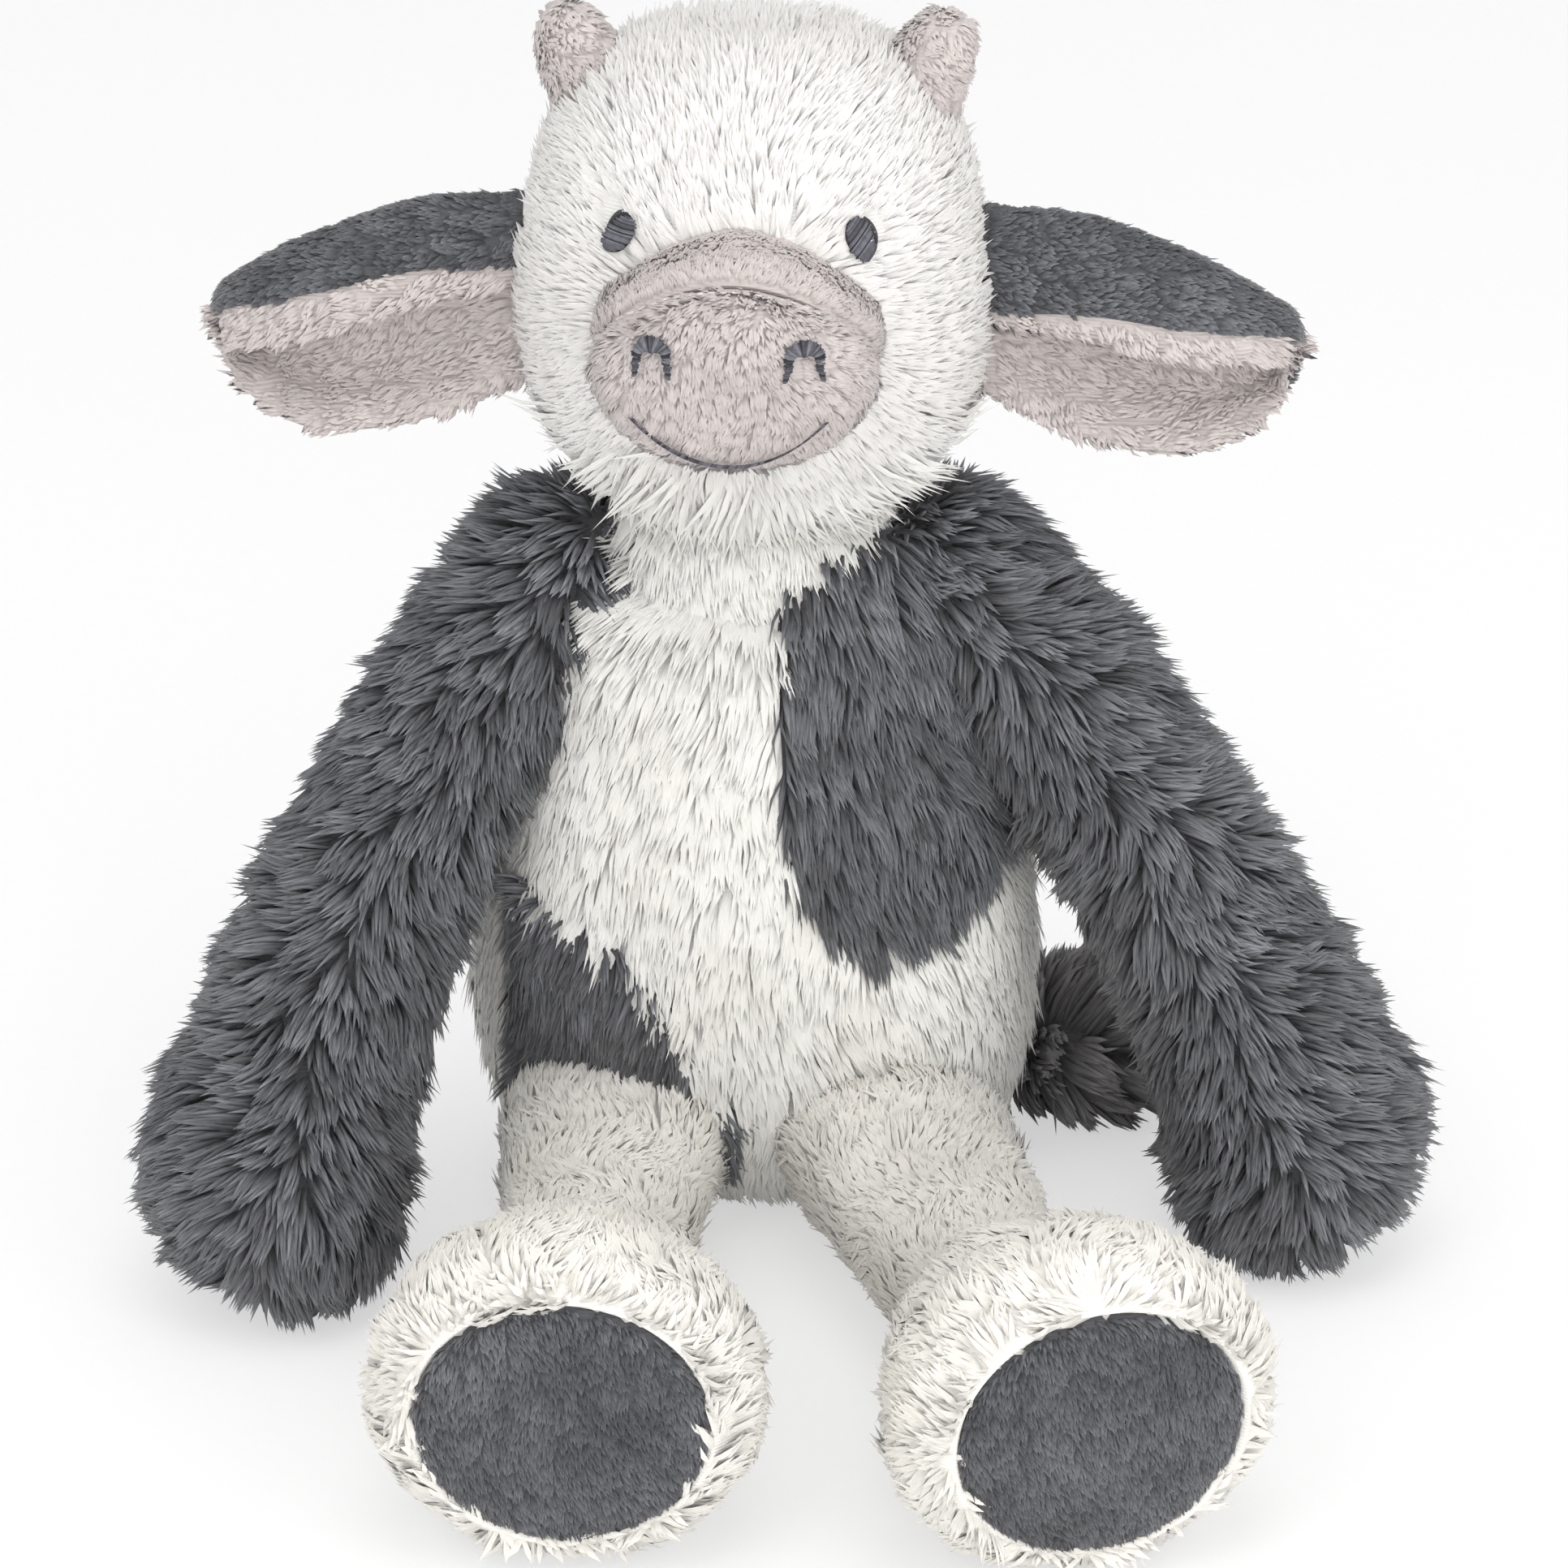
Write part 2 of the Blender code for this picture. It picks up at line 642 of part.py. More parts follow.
def stitched(name, outline, across, height, shape_of, looks, head):
    """Raised stitching of this outline on the front of the head or the muzzle."""
    behind, ahead = (0.0, HEAD_HALF_DEPTH) if shape_of is head_form else (HEAD_HALF_DEPTH, MUZZLE_LENGTH)
    half_length = (ahead + OVERRUN - behind) / 2.0
    frame = head_matrix() @ Matrix.Translation((across, -behind - half_length, height))
    piece = shape_of(name, STITCH_HEIGHT + CLEARANCE, PARTS)
    boolean(piece, "INTERSECT", prism(name + "_outline", outline, half_length, frame))
    cut(piece, shape_of(name + "_under", CLEARANCE))
    finish(piece, looks["thread"], head)


def make_face(looks, head):
    for word, side in SIDES:
        eye = oval(EYE_HALF_WIDTH, EYE_HALF_HEIGHT, side * EYE_SLANT)
        stitched(f"eye_{word}", eye, side * EYE_SPREAD, EYE_HEIGHT, head_form, looks, head)
        nostril = arch(NOSTRIL_HALF_WIDTH, NOSTRIL_LEG, NOSTRIL_STROKE)
        stitched(f"nostril_{word}", nostril, side * NOSTRIL_SPREAD, NOSTRIL_HEIGHT, muzzle_form, looks, head)
    mouth = smile(MOUTH_HALF_WIDTH, MOUTH_SAG, MOUTH_STROKE)
    stitched("mouth_stitch", mouth, 0.0, MOUTH_HEIGHT, muzzle_form, looks, head)


def make_horns(looks, head):
    scalp = head_form("scalp", CLEARANCE)
    for word, side in SIDES:
        place = Matrix.Translation((side * HORN_SPREAD, 0.0, HORN_HEIGHT))
        frame = head_matrix() @ place @ Matrix.Rotation(side * HORN_SPLAY, 4, "Y")
        skin = form(f"horn_{word}", horn_rings(), SMALL_SIDES, frame, collection=PARTS)
        cut(skin, core(f"horn_{word}_cavity", horn_rings(), SMALL_SIDES, frame, SHORT_PILE_WALL), scalp)
        finish(skin, looks["taupe_pile"], head)
        inset = SHORT_PILE_WALL + CLEARANCE
        filling = core(f"horn_stuffing_{word}", horn_rings(), SMALL_SIDES, frame, inset, PARTS)
        cut(filling, scalp)
        finish(filling, looks["filling"], head)


def ear_sheet(name, side):
    """The open surface between the ear's two layers: an outline along its length, a hooked section across."""
    shape = bmesh.new()
    rows = []
    for length, top, bottom, depth in EAR_OUTLINE_SHARES:
        row = []
        for forward, height in EAR_SECTION_SHARES:
            z = EAR_HALF_HEIGHT * (bottom + (top - bottom) * height)
            y = -EAR_DEPTH * depth * forward
            row.append(shape.verts.new((side * length * EAR_LENGTH, y, z)))
        rows.append(row)
    for near, far in zip(rows, rows[1:]):
        for i in range(len(near) - 1):
            corners = (near[i], far[i], far[i + 1], near[i + 1])
            shape.faces.new(corners if side == RIGHT else corners[::-1])
    mesh = bpy.data.meshes.new(name)
    shape.to_mesh(mesh)
    shape.free()
    return mesh


def make_ear(word, side, looks, ear):
    """Two layers on the two sides of one sheet, cut clear of the head wherever the ear is flapped."""
    clear = []
    for flap in (-EAR_FLAP, 0.0, EAR_FLAP):
        matrix = head_seen_from_ear(side, flap)
        name = f"head_beside_ear_{word}"
        clear.append(form(name, head_rings(), BODY_SIDES, matrix, RUNNING_CLEARANCE))
    for kind, out, look in (("ear_back", 1.0, "charcoal_pile"), ("ear_lining", -1.0, "taupe_pile")):
        name = f"{kind}_{word}"
        layer = mesh_object(name, ear_sheet(name, side), PARTS)
        layer.matrix_world = ear_matrix(side)
        soften = layer.modifiers.new("soften", "SUBSURF")
        soften.levels = 1
        soften.render_levels = 1
        apart = layer.modifiers.new("apart", "DISPLACE")
        apart.direction = "NORMAL"
        apart.mid_level = 0.0
        apart.strength = out * CLEARANCE / 2.0
        thick = layer.modifiers.new("thick", "SOLIDIFY")
        thick.thickness = EAR_LAYER
        thick.offset = out
        cut(layer, *clear)
        finish(layer, looks[look], ear)


def head_seen_from_ear(side, flap):
    """Where the head stands against the resting ear when the ear is flapped this far."""
    return ear_matrix(side) @ ear_matrix(side, flap).inverted() @ head_matrix()


def make_arm(word, side, looks, arm, floor):
    """An arm whose cover ends in a true ball, open where it is sewn to the body."""
    frame = shoulder_matrix(side)
    joint = frame.translation
    skin = form(f"arm_skin_{word}", arm_rings(side), LIMB_SIDES, frame, collection=PARTS)
    boolean(skin, "UNION", ball(f"arm_{word}_end", SHOULDER_RADIUS, joint))
    cavity = core(f"arm_{word}_cavity", arm_rings(side), LIMB_SIDES, frame, LONG_PILE_WALL)
    mouth_place = joint - Vector((side * SHOULDER_RADIUS, 0.0, 0.0))
    mouth = ball(f"arm_{word}_mouth", SHOULDER_RADIUS / 2.0, mouth_place)
    cut(skin, cavity, floor, mouth)
    finish(skin, looks["charcoal_fur"], arm)
    inset = LONG_PILE_WALL + CLEARANCE
    filling = core(f"arm_stuffing_{word}", arm_rings(side), LIMB_SIDES, frame, inset, PARTS)
    finish(filling, looks["filling"], arm)


def make_leg(word, side, looks, leg, floor):
    """A leg whose cover ends in a true ball, open where it is sewn to the body."""
    frame = hip_matrix(side)
    skin = form(f"leg_skin_{word}", leg_rings(), LIMB_SIDES, frame, collection=PARTS)
    boolean(skin, "UNION", ball(f"leg_{word}_end", HIP_RADIUS, frame.translation))
    cavity = core(f"leg_{word}_cavity", leg_rings(), LIMB_SIDES, frame, LONG_PILE_WALL)
    mouth = ball(f"leg_{word}_mouth", HIP_RADIUS / 2.0, frame @ Vector((0.0, 0.0, HIP_RADIUS)))
    cut(skin, cavity, floor, mouth)
    finish(skin, looks["cream_fur"], leg)
    inset = LONG_PILE_WALL + CLEARANCE
    filling = core(f"leg_stuffing_{word}", leg_rings(), LIMB_SIDES, frame, inset, PARTS)
    finish(filling, looks["filling"], leg)
    sole = form(f"sole_{word}", leg_rings(), LIMB_SIDES, frame, SOLE_THICKNESS + CLEARANCE, PARTS)
    toe = frame @ Matrix.Translation((0.0, -FOOT_RISE, -LEG_LENGTH))
    middle = toe @ Matrix.Rotation(math.pi / 2.0, 4, "X")
    outline = oval(SOLE_HALF_WIDTH, SOLE_HALF_HEIGHT, 0.0)
    half_length = OVERRUN / 2.0
    boolean(sole, "INTERSECT", prism(f"sole_{word}_outline", outline, half_length, middle))
    cut(sole, form(f"foot_{word}_under_sole", leg_rings(), LIMB_SIDES, frame, CLEARANCE))
    finish(sole, looks["charcoal_pile"], leg)


def tail_route():
    points = []
    for across, back, height in TAIL_ROUTE_SHARES:
        points.append(Vector((across * TAIL_REACH, back * TAIL_BACK, (height - 1.0) * TAIL_ROOT_HEIGHT)))
    return points


def make_tail(looks, tail):
    frame = Matrix.Translation(tail_place())
    curve = bpy.data.curves.new("tail_route", "CURVE")
    curve.dimensions = "3D"
    curve.bevel_depth = TAIL_RADIUS
    curve.bevel_resolution = 1
    curve.resolution_u = 3
    curve.use_fill_caps = True
    spline = curve.splines.new("BEZIER")
    route = tail_route()
    spline.bezier_points.add(len(route) - 1)
    for point, place in zip(spline.bezier_points, route):
        point.co = place
        point.handle_left_type = "AUTO"
        point.handle_right_type = "AUTO"
    guide = mesh_object("tail_guide", curve, CUTTERS)
    guide.matrix_world = frame
    cord = closed_mesh_of(guide, "tail_cord", PARTS)
    boolean(cord, "UNION", ball("tail_root", TAIL_ROOT_RADIUS, tail_place()))
    finish(cord, looks["charcoal_pile"], tail)
    turned = Matrix.Rotation(TUFT_TURN, 4, "Z") @ Matrix.Rotation(TUFT_LIFT, 4, "Y")
    tuft_frame = frame @ Matrix.Translation(route[-1]) @ turned
    tuft = form("tail_tuft", tuft_rings(), SMALL_SIDES, tuft_frame, collection=PARTS)
    bpy.context.view_layer.update()
    socket = mesh_object("tuft_socket", cord.data.copy(), CUTTERS)
    socket.matrix_world = frame
    wider = socket.modifiers.new("wider", "DISPLACE")
    wider.direction = "NORMAL"
    wider.mid_level = 0.0
    wider.strength = CLEARANCE
    cut(tuft, socket)
    finish(tuft, looks["dark_tuft"], tail)


def main():
    clear_scene()
    looks = materials()
    floor = floor_cutter()
    body = empty("body", Matrix())
    make_body(looks, body, floor, limb_cutters())
    head = empty("neck", Matrix.Translation((0.0, -NECK_FORWARD, NECK_HEIGHT)))
    make_head(looks, head)
    make_muzzle(looks, head)
    make_face(looks, head)
    make_horns(looks, head)
    for word, side in SIDES:
        make_ear(word, side, looks, empty(f"ear_{word}", ear_matrix(side)))
        make_arm(word, side, looks, empty(f"shoulder_{word}", shoulder_matrix(side)), floor)
        make_leg(word, side, looks, empty(f"hip_{word}", hip_matrix(side)), floor)
    make_tail(looks, empty("tail", Matrix.Translation(tail_place())))


main()
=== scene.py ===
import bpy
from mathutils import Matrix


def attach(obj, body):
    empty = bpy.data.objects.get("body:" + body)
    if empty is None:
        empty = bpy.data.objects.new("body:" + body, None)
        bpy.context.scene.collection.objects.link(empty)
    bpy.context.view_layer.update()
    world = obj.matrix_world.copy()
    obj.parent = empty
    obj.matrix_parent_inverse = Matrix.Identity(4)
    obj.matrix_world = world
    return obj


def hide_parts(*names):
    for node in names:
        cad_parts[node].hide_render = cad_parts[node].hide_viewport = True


bl_info = {
    "name": "Plush Cow",
    "version": (1, 0, 0),
    "blender": (4, 5, 0),
    "location": "3D View > Sidebar > Plush Cow",
    "description": "Sews, stuffs and combs a sitting plush cow on its packed frame",
    "category": "Object",
}

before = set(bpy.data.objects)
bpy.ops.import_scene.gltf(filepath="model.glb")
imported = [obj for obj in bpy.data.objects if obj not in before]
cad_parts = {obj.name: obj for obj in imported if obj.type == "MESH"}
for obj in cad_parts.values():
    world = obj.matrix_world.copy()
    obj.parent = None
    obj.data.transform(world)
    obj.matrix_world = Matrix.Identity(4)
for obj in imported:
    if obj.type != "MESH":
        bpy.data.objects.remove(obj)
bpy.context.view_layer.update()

import math

import bpy
import numpy as np
from bpy.props import FloatProperty, FloatVectorProperty, IntProperty, PointerProperty

LEFT, RIGHT = 1, -1
SIDES = (("left", LEFT), ("right", RIGHT))
PHOTO_PIXELS = 1932
FLOOR_GAP = 0.0004
FLOOR_SOFTNESS = 0.0040

# The body cover: rings as (height, half width, half depth) shares.
BODY_HEIGHT = 0.154
BODY_HALF_WIDTH = 0.0625
BODY_HALF_DEPTH = 0.0485
BODY_LEAN = 0.004
BODY_RING_SHARES = (
    (0.00, 0.66, 0.54),
    (0.06, 0.88, 0.79),
    (0.19, 0.99, 0.97),
    (0.38, 1.01, 1.03),
    (0.56, 0.94, 0.97),
    (0.74, 0.80, 0.86),
    (0.90, 0.72, 0.77),
    (1.00, 0.60, 0.62),
)

# The ball of the neck, which the head nods on.
NECK_HEIGHT = 0.148
NECK_FORWARD = 0.006
NECK_RADIUS = 0.0310
NECK_TURNS = (-64.0, -40.0, -14.0, 14.0, 40.0, 64.0)
LIMB_BALL_TURNS = (62.0, 34.0, 8.0)

# The head, in its own frame on the middle of its base.
HEAD_BASE_HEIGHT = 0.163
HEAD_HEIGHT = 0.100
HEAD_HALF_WIDTH = 0.0520
HEAD_HALF_DEPTH = 0.0480
HEAD_FORWARD = 0.013
HEAD_TURN = math.radians(-4.5)
HEAD_RING_SHARES = (
    (0.00, 0.42, 0.42),
    (0.07, 0.71, 0.71),
    (0.21, 0.91, 0.90),
    (0.42, 1.00, 1.00),
    (0.62, 0.95, 0.98),
    (0.79, 0.86, 0.90),
    (0.92, 0.68, 0.70),
    (1.00, 0.42, 0.42),
)

# The muzzle: (length, half width, half height, rise) shares, from the head's middle to the nose.
MUZZLE_HEIGHT = 0.0470
MUZZLE_LENGTH = 0.0680
MUZZLE_HALF_WIDTH = 0.0300
MUZZLE_HALF_HEIGHT = 0.0235
MUZZLE_RING_SHARES = (
    (0.40, 0.96, 1.00, 0.20),
    (0.62, 1.03, 1.04, 0.10),
    (0.80, 1.00, 0.98, 0.00),
    (0.93, 0.84, 0.80, -0.06),
    (1.00, 0.50, 0.48, -0.08),
)
SEAM_POINT = (0.0, -0.050, 0.0575)
SEAM_SLOPE = math.radians(50)
SEAM_ARCH = 7.0
BRIDGE_TAPER = 0.26
SEAM_DEPTH = 0.0022
SEAM_SPREAD = 0.0026

# The embroidered face, in the head's frame.
EYE_SPREAD = 0.0238
EYE_HEIGHT = 0.0680
EYE_HALF_WIDTH = 0.0026
EYE_HALF_HEIGHT = 0.0042
EYE_SLANT = math.radians(30)
NOSTRIL_SPREAD = 0.0148
NOSTRIL_HEIGHT = 0.0530
NOSTRIL_HALF_WIDTH = 0.0038
NOSTRIL_LEG = 0.0036
NOSTRIL_STROKE = 0.0024
MOUTH_HEIGHT = 0.0400
MOUTH_HALF_WIDTH = 0.0190
MOUTH_SAG = 0.0100
MOUTH_STROKE = 0.0009

# The horns, as (length, radius) shares.
HORN_SPREAD = 0.0290
HORN_HEIGHT = 0.0790
HORN_LENGTH = 0.0270
HORN_RADIUS = 0.0082
HORN_SPLAY = math.radians(25)
HORN_RING_SHARES = ((0.00, 1.12), (0.42, 1.00), (0.80, 0.78), (1.00, 0.34))

# The ears: (length, top, bottom, depth) shares along, (forwards, height) shares across.
EAR_ROOT_SPREAD = 0.0509
EAR_ROOT_HEIGHT = 0.0430
EAR_ROOT_BACK = 0.002
EAR_LENGTH = 0.0601
EAR_DEPTH = 0.0170
EAR_LAYER = 0.0022
EAR_LIP = {LEFT: 0.0052, RIGHT: 0.0080}
EAR_HALF_HEIGHT = 0.0222
EAR_HANG = {LEFT: 0.0110, RIGHT: 0.0045}
EAR_SAG = 0.0048
EAR_OUTLINE_SHARES = (
    (-0.08, 0.82, -0.80, 0.26),
    (0.30, 0.88, -1.16, 0.75),
    (0.62, 0.60, -1.24, 1.00),
    (0.90, 0.16, -0.90, 0.82),
    (1.00, -0.16, -0.50, 0.50),
)
EAR_SECTION_SHARES = ((0.70, 0.00), (0.02, 0.30), (-0.06, 0.76), (0.44, 1.04), (1.00, 0.82))

# The arms: (length, radius, bow) shares below the shoulder ball.
SHOULDER_SPREAD = 0.0400
SHOULDER_HEIGHT = 0.1385
SHOULDER_FORWARD = 0.0020
SHOULDER_RADIUS = 0.0235
ARM_LENGTH = 0.1680
ARM_HALF_WIDTH = 0.0258
ARM_BOW = 0.0115
ARM_FORWARD = {LEFT: math.radians(17), RIGHT: math.radians(25)}
ARM_SPLAY = {LEFT: math.radians(31.6), RIGHT: math.radians(26)}
ARM_RING_SHARES = (
    (0.14, 0.86, 0.60),
    (0.42, 0.88, 1.00),
    (0.68, 1.00, 0.88),
    (0.88, 1.12, 0.42),
    (0.98, 0.68, 0.22),
)

# The legs: (length, radius) shares, then the foot's (length, half width, half height, rise) shares.
HIP_SPREAD = 0.0300
HIP_FORWARD = {LEFT: 0.0450, RIGHT: 0.0370}
HIP_HEIGHT = 0.0262
HIP_RADIUS = 0.0252
LEG_LENGTH = 0.1370
LEG_HALF_WIDTH = 0.0245
FOOT_HALF_WIDTH = 0.0385
FOOT_HALF_HEIGHT = 0.0350
FOOT_RISE = 0.0083
LEG_SPLAY = {LEFT: math.radians(15.5), RIGHT: math.radians(-3)}
LEG_RING_SHARES = ((0.16, 1.00), (0.56, 0.96))
FOOT_RING_SHARES = (
    (0.72, 0.90, 0.92, 0.8),
    (0.84, 1.03, 1.03, 1.0),
    (0.94, 1.00, 1.00, 1.0),
    (1.00, 0.84, 0.84, 1.0),
)
THIGH_PRESS = 0.32
ANKLE_SHARE = 0.78
ANKLE_DEPTH = 0.0018
ANKLE_SPREAD = 0.0042
SOLE_HALF_WIDTH = 0.0283
SOLE_HALF_HEIGHT = 0.0256

# The tail: (across, back, height) shares of its route, then the tuft's (length, radius) shares.
TAIL_ROOT = (0.0, 0.0425, 0.0140)
TAIL_RADIUS = 0.0036
TAIL_REACH = 0.0560
TAIL_BACK = 0.0150
TUFT_LENGTH = 0.0360
TUFT_RADIUS = 0.0182
TUFT_TURN = math.radians(-12)
TUFT_LIFT = math.radians(78)
TAIL_ROUTE_SHARES = (
    (0.00, 0.00, 1.00),
    (0.10, 0.60, 0.86),
    (0.34, 1.00, 0.80),
    (0.70, 0.30, 0.90),
    (1.04, -1.40, 1.00),
)
TUFT_RING_SHARES = ((0.00, 0.34), (0.22, 0.84), (0.50, 1.03), (0.78, 0.90), (1.00, 0.46))

# The charcoal patches: middle, half sizes and outline shares, seen from the front.
CHEST_MIDDLE = (0.0320, 0.1060)
CHEST_HALF = (0.0260, 0.0415)
CHEST_OUTLINE_SHARES = (
    (-0.90, 0.92), (-0.55, 1.00), (0.05, 1.00), (0.45, 0.80), (0.80, 0.35), (1.00, -0.25),
    (0.90, -0.65), (0.55, -0.90), (0.10, -1.00), (-0.50, -0.92), (-0.88, -0.60), (-1.00, 0.00),
)
CHEST_HANG = 0.0080
HIP_HANG = 0.0040
HIP_SIDE = 0.0525
HIP_MIDDLE = (-0.0310, 0.0480)
HIP_HALF = (0.0320, 0.0290)
HIP_OUTLINE_SHARES = (
    (-1.00, 0.95), (-0.40, 0.85), (0.10, 0.55), (0.38, 0.05), (0.66, -0.50), (0.82, -1.00),
    (0.30, -1.00), (-0.60, -0.95), (-1.00, -0.40),
)

# The camera, fitted to the photograph.
CAMERA_ELEVATION = math.radians(25)
CAMERA_DISTANCE = 1.062
CAMERA_AIM = (0.0, -0.034, 0.106)
CAMERA_FOCAL_PIXELS = 6250.0
CAMERA_AIM_PIXEL = (930.0, 960.0)
SENSOR_WIDTH = 36.0

# How finely each cover is meshed: points around it and rings along it.
MESH_STEPS = {
    "body": (110, 90), "neck": (72, 48), "head": (110, 90), "muzzle": (120, 90), "seam": (240, 160),
    "horn": (40, 40), "arm": (80, 110), "leg": (96, 120), "tuft": (48, 48),
}

# How many tufts each pile has, and where each part's random seeds start.
TUFTS = {
    "body": 23600, "chest": 3800, "hip": 3600, "head": 19800, "fringe": 5600, "bridge": 6400, "pad": 10000,
    "horn": 1500, "ear_back": 4600, "ear_lining": 4700, "arm": 15900, "leg": 16200, "sole": 5200,
    "tail_cord": 1800, "tail_tuft": 2600,
}
FEWEST_TUFTS = 8
SEEDS = {
    "body": 0, "patch": 3, "head": 20, "muzzle": 40, "face": 50, "horn": 60, "ear": 80, "arm": 100,
    "leg": 120, "sole": 130, "tail": 140,
}

# Each pile's tufts: width, rise of the middle and of the tip off the skin, pull to the clump's middle, wander
# off the comb, tufts to a clump, and how far the shading leans to the skin's.
PILE_STYLES = {
    "body": (0.00140, 0.50, 0.20, 0.45, 0.30, 18, 0.92),
    "yoke": (0.00140, 0.50, 0.20, 0.45, 0.30, 18, 0.25),
    "patch": (0.00135, 0.60, 0.36, 0.60, 0.35, 16, 0.25),
    "head": (0.00150, 0.50, 0.20, 0.35, 0.34, 14, 0.90),
    "fringe": (0.00140, 0.42, 0.04, 0.45, 0.40, 14, 0.90),
    "bridge": (0.00085, 0.62, 0.28, 0.45, 0.65, 16, 0.85),
    "pad": (0.00085, 0.74, 0.40, 0.65, 0.65, 16, 0.75),
    "horn": (0.00100, 0.70, 0.32, 0.50, 0.80, 14, 0.70),
    "ear_back": (0.00120, 0.60, 0.28, 0.30, 0.30, 20, 0.60),
    "ear_lining": (0.00095, 0.72, 0.34, 0.50, 0.55, 20, 0.60),
    "arm": (0.00135, 0.68, 0.46, 0.65, 0.45, 14, 0.25),
    "leg": (0.00140, 0.58, 0.28, 0.50, 0.75, 20, 0.92),
    "sole": (0.00085, 0.54, 0.24, 0.25, 0.30, 18, 0.60),
    "tail_cord": (0.00120, 0.70, 0.34, 0.35, 0.30, 14, 0.70),
    "tail_tuft": (0.00210, 0.72, 0.55, 0.85, 0.45, 30, 0.30),
}

# A tuft's rings by how many it has, as (share of its length, share of its half width), and its section.
TUFT_RINGS = {2: ((0.0, 0.80), (0.55, 1.0)), 3: ((0.0, 0.72), (0.42, 1.0), (0.76, 0.74))}
TUFT_TURNS = (90.0, 210.0, 330.0)
TUFT_FLATNESS = 0.65
TUFT_ROOT_DEPTH = 0.0008
TUFT_CELL_SHAPE = 3.2
TUFT_CELL_MARGIN = 0.08

# How tufts differ by chance, and what makes one a stray.
LENGTH_RANGE = (0.76, 1.14)
WIDTH_RANGE = (0.75, 1.25)
RISE_RANGE = (0.85, 1.15)
TIP_RISE_RANGE = (0.6, 1.4)
PULL_RANGE = (0.4, 1.3)
WANDER_WAVE = 0.030
WANDER_WAVE_SHARE = 1.4
WANDER_CHANCE = 0.55
STRAY_SHARE = 0.08
STRAY_HIGHER = 0.15
STRAY_LONGER = 0.12
STRAY_FINER = 0.35

# Where the body's cloth lies and how thickly its fur grows, by height, slope and how far back it is.
BODY_CLOTH_SHARE = 0.82
SHOULDER_CLOTH_SHARE = 0.88
SHOULDER_BAND = (0.140, 0.150)
NECK_CLOTH_DEPTH = 0.0035
HIDDEN_IN_LIMB = 0.013
HIDDEN_IN_NECK = 0.0055
HIDDEN_IN_BODY = 0.0100
UNDERSIDE_SLOPE = -0.85
UNDERSIDE_THINNED = 0.7
BACK_BAND = (-0.015, 0.010)
BACK_THINNED = 0.6
NECKLINE_BAND = (0.134, 0.142)
NECKLINE_SHORTER = 0.20
NECKLINE_DEPTH = 0.030

# The charcoal yoke at the shoulders: its lower edge, and the white collar and notch that it leaves.
YOKE_BOTTOM = 0.118
YOKE_SLOPE = 0.62
COLLAR_HALF_WIDTH = 0.030
COLLAR_DROP = 0.003
COLLAR_NARROWING = -0.010
NOTCH_HALF_WIDTH = 0.0095
NOTCH_HEIGHT = 0.148
NOTCH_FLARE = 2.0
BODY_FRONT_LINE = -0.012
CHEST_FRONT_LINE = -0.014
CHEST_TOP = 0.1475
HIP_FRONT_LINE = 0.004
PATCH_FACING = 0.2
PATCH_LONGER = 1.02
PATCH_SINK = 0.68
PATCH_THICKNESS = 0.0012

# The head's fur: thinner behind, longer low down, shorter on the crown and round the eyes.
HIDDEN_IN_MUZZLE = 0.007
HEAD_BEHIND_BAND = (0.0, 0.020)
HEAD_BEHIND_THINNED = 0.45
CHEEK_TOP = 0.036
CHEEK_FADE = 0.022
CHEEK_LONGER = 0.38
CROWN_BAND = (0.070, 0.095)
CROWN_SHORTER = 0.06
CROWN_LIFT = 0.26
EYE_RIM_SHARE = 0.62
EYE_RIM_BAND = (1.0, 2.4)
FAR_OFF = 9.0
FRINGE_LENGTH = 0.0165
FRINGE_FRONT_LONGER = 0.0085
FRINGE_FRONT_BAND = (0.0, 0.035)
FRINGE_HEIGHT = 0.010
FRINGE_SPREAD = 0.008
FRINGE_BACK_BAND = (0.0, 0.03)
FRINGE_BACK_THINNED = 0.5

# The muzzle's two parts, the fleece on them, and the stitches along their seam.
SEAM_WAY = np.array((0.0, math.sin(SEAM_SLOPE), math.cos(SEAM_SLOPE)))
SEAM_OVERLAP = 0.0002
SEAM_CLEAR = 0.0006
BRIDGE_TAPER_BAND = (0.052, 0.071)
MUZZLE_CLOTH_SHARE = 1.5
MUZZLE_IN_HEAD = 0.004
PAD_LONGER = 1.18
BRIDGE_COMB_RISE = 1.0
PAD_COMB_RISE = -0.9
STITCH_BAND = (0.0005, 0.0035)
STITCH_RIM_SHARE = 0.55
NOSTRIL_CLEAR = 0.45
MOUTH_CLEAR = 0.5
MOUTH_KEPT_EACH = 4
MUZZLE_FACING = -0.15
SEAM_STITCHES = 20
SEAM_HALF_WIDTH = 0.0215
SEAM_HALF_STITCH = 0.0007
SEAM_DROP = 0.0024
SEAM_NEAR = 0.0005
SEAM_BAND_FRONT = -0.036
SEAM_BAND_HALF_WIDTH = 0.029
SEAM_SINK = -0.0002

# The threads: radius and height over the ground, then how each stitched shape is filled with them.
THREAD_SIDES = 6
THREAD_ROWS = 7
EYE_THREAD = (0.00027, 0.0009)
NOSTRIL_THREAD = (0.00030, 0.0007)
MOUTH_THREAD = (0.00018, 0.0005)
SEAM_THREAD = (0.00020, 0.0004)
EYE_SINK = 0.0024
EYE_ROWS = 24
EYE_ROW_REACH = 0.95
EYE_ROW_TILT = 0.0011
EYE_RAGGED = (-0.0002, 0.0005)
EYE_BED_RAISED = 0.0003
EYE_BED_DEPTH = 0.0035
EYE_BED_TONE = 0.05
FACE_SINK = 0.0012
NOSTRIL_ROWS = 27
NOSTRIL_LEG_ROWS = 8
NOSTRIL_RAGGED = (-0.0001, 0.0004)
NOSTRIL_LEG_RAGGED = (-0.0002, 0.0003)
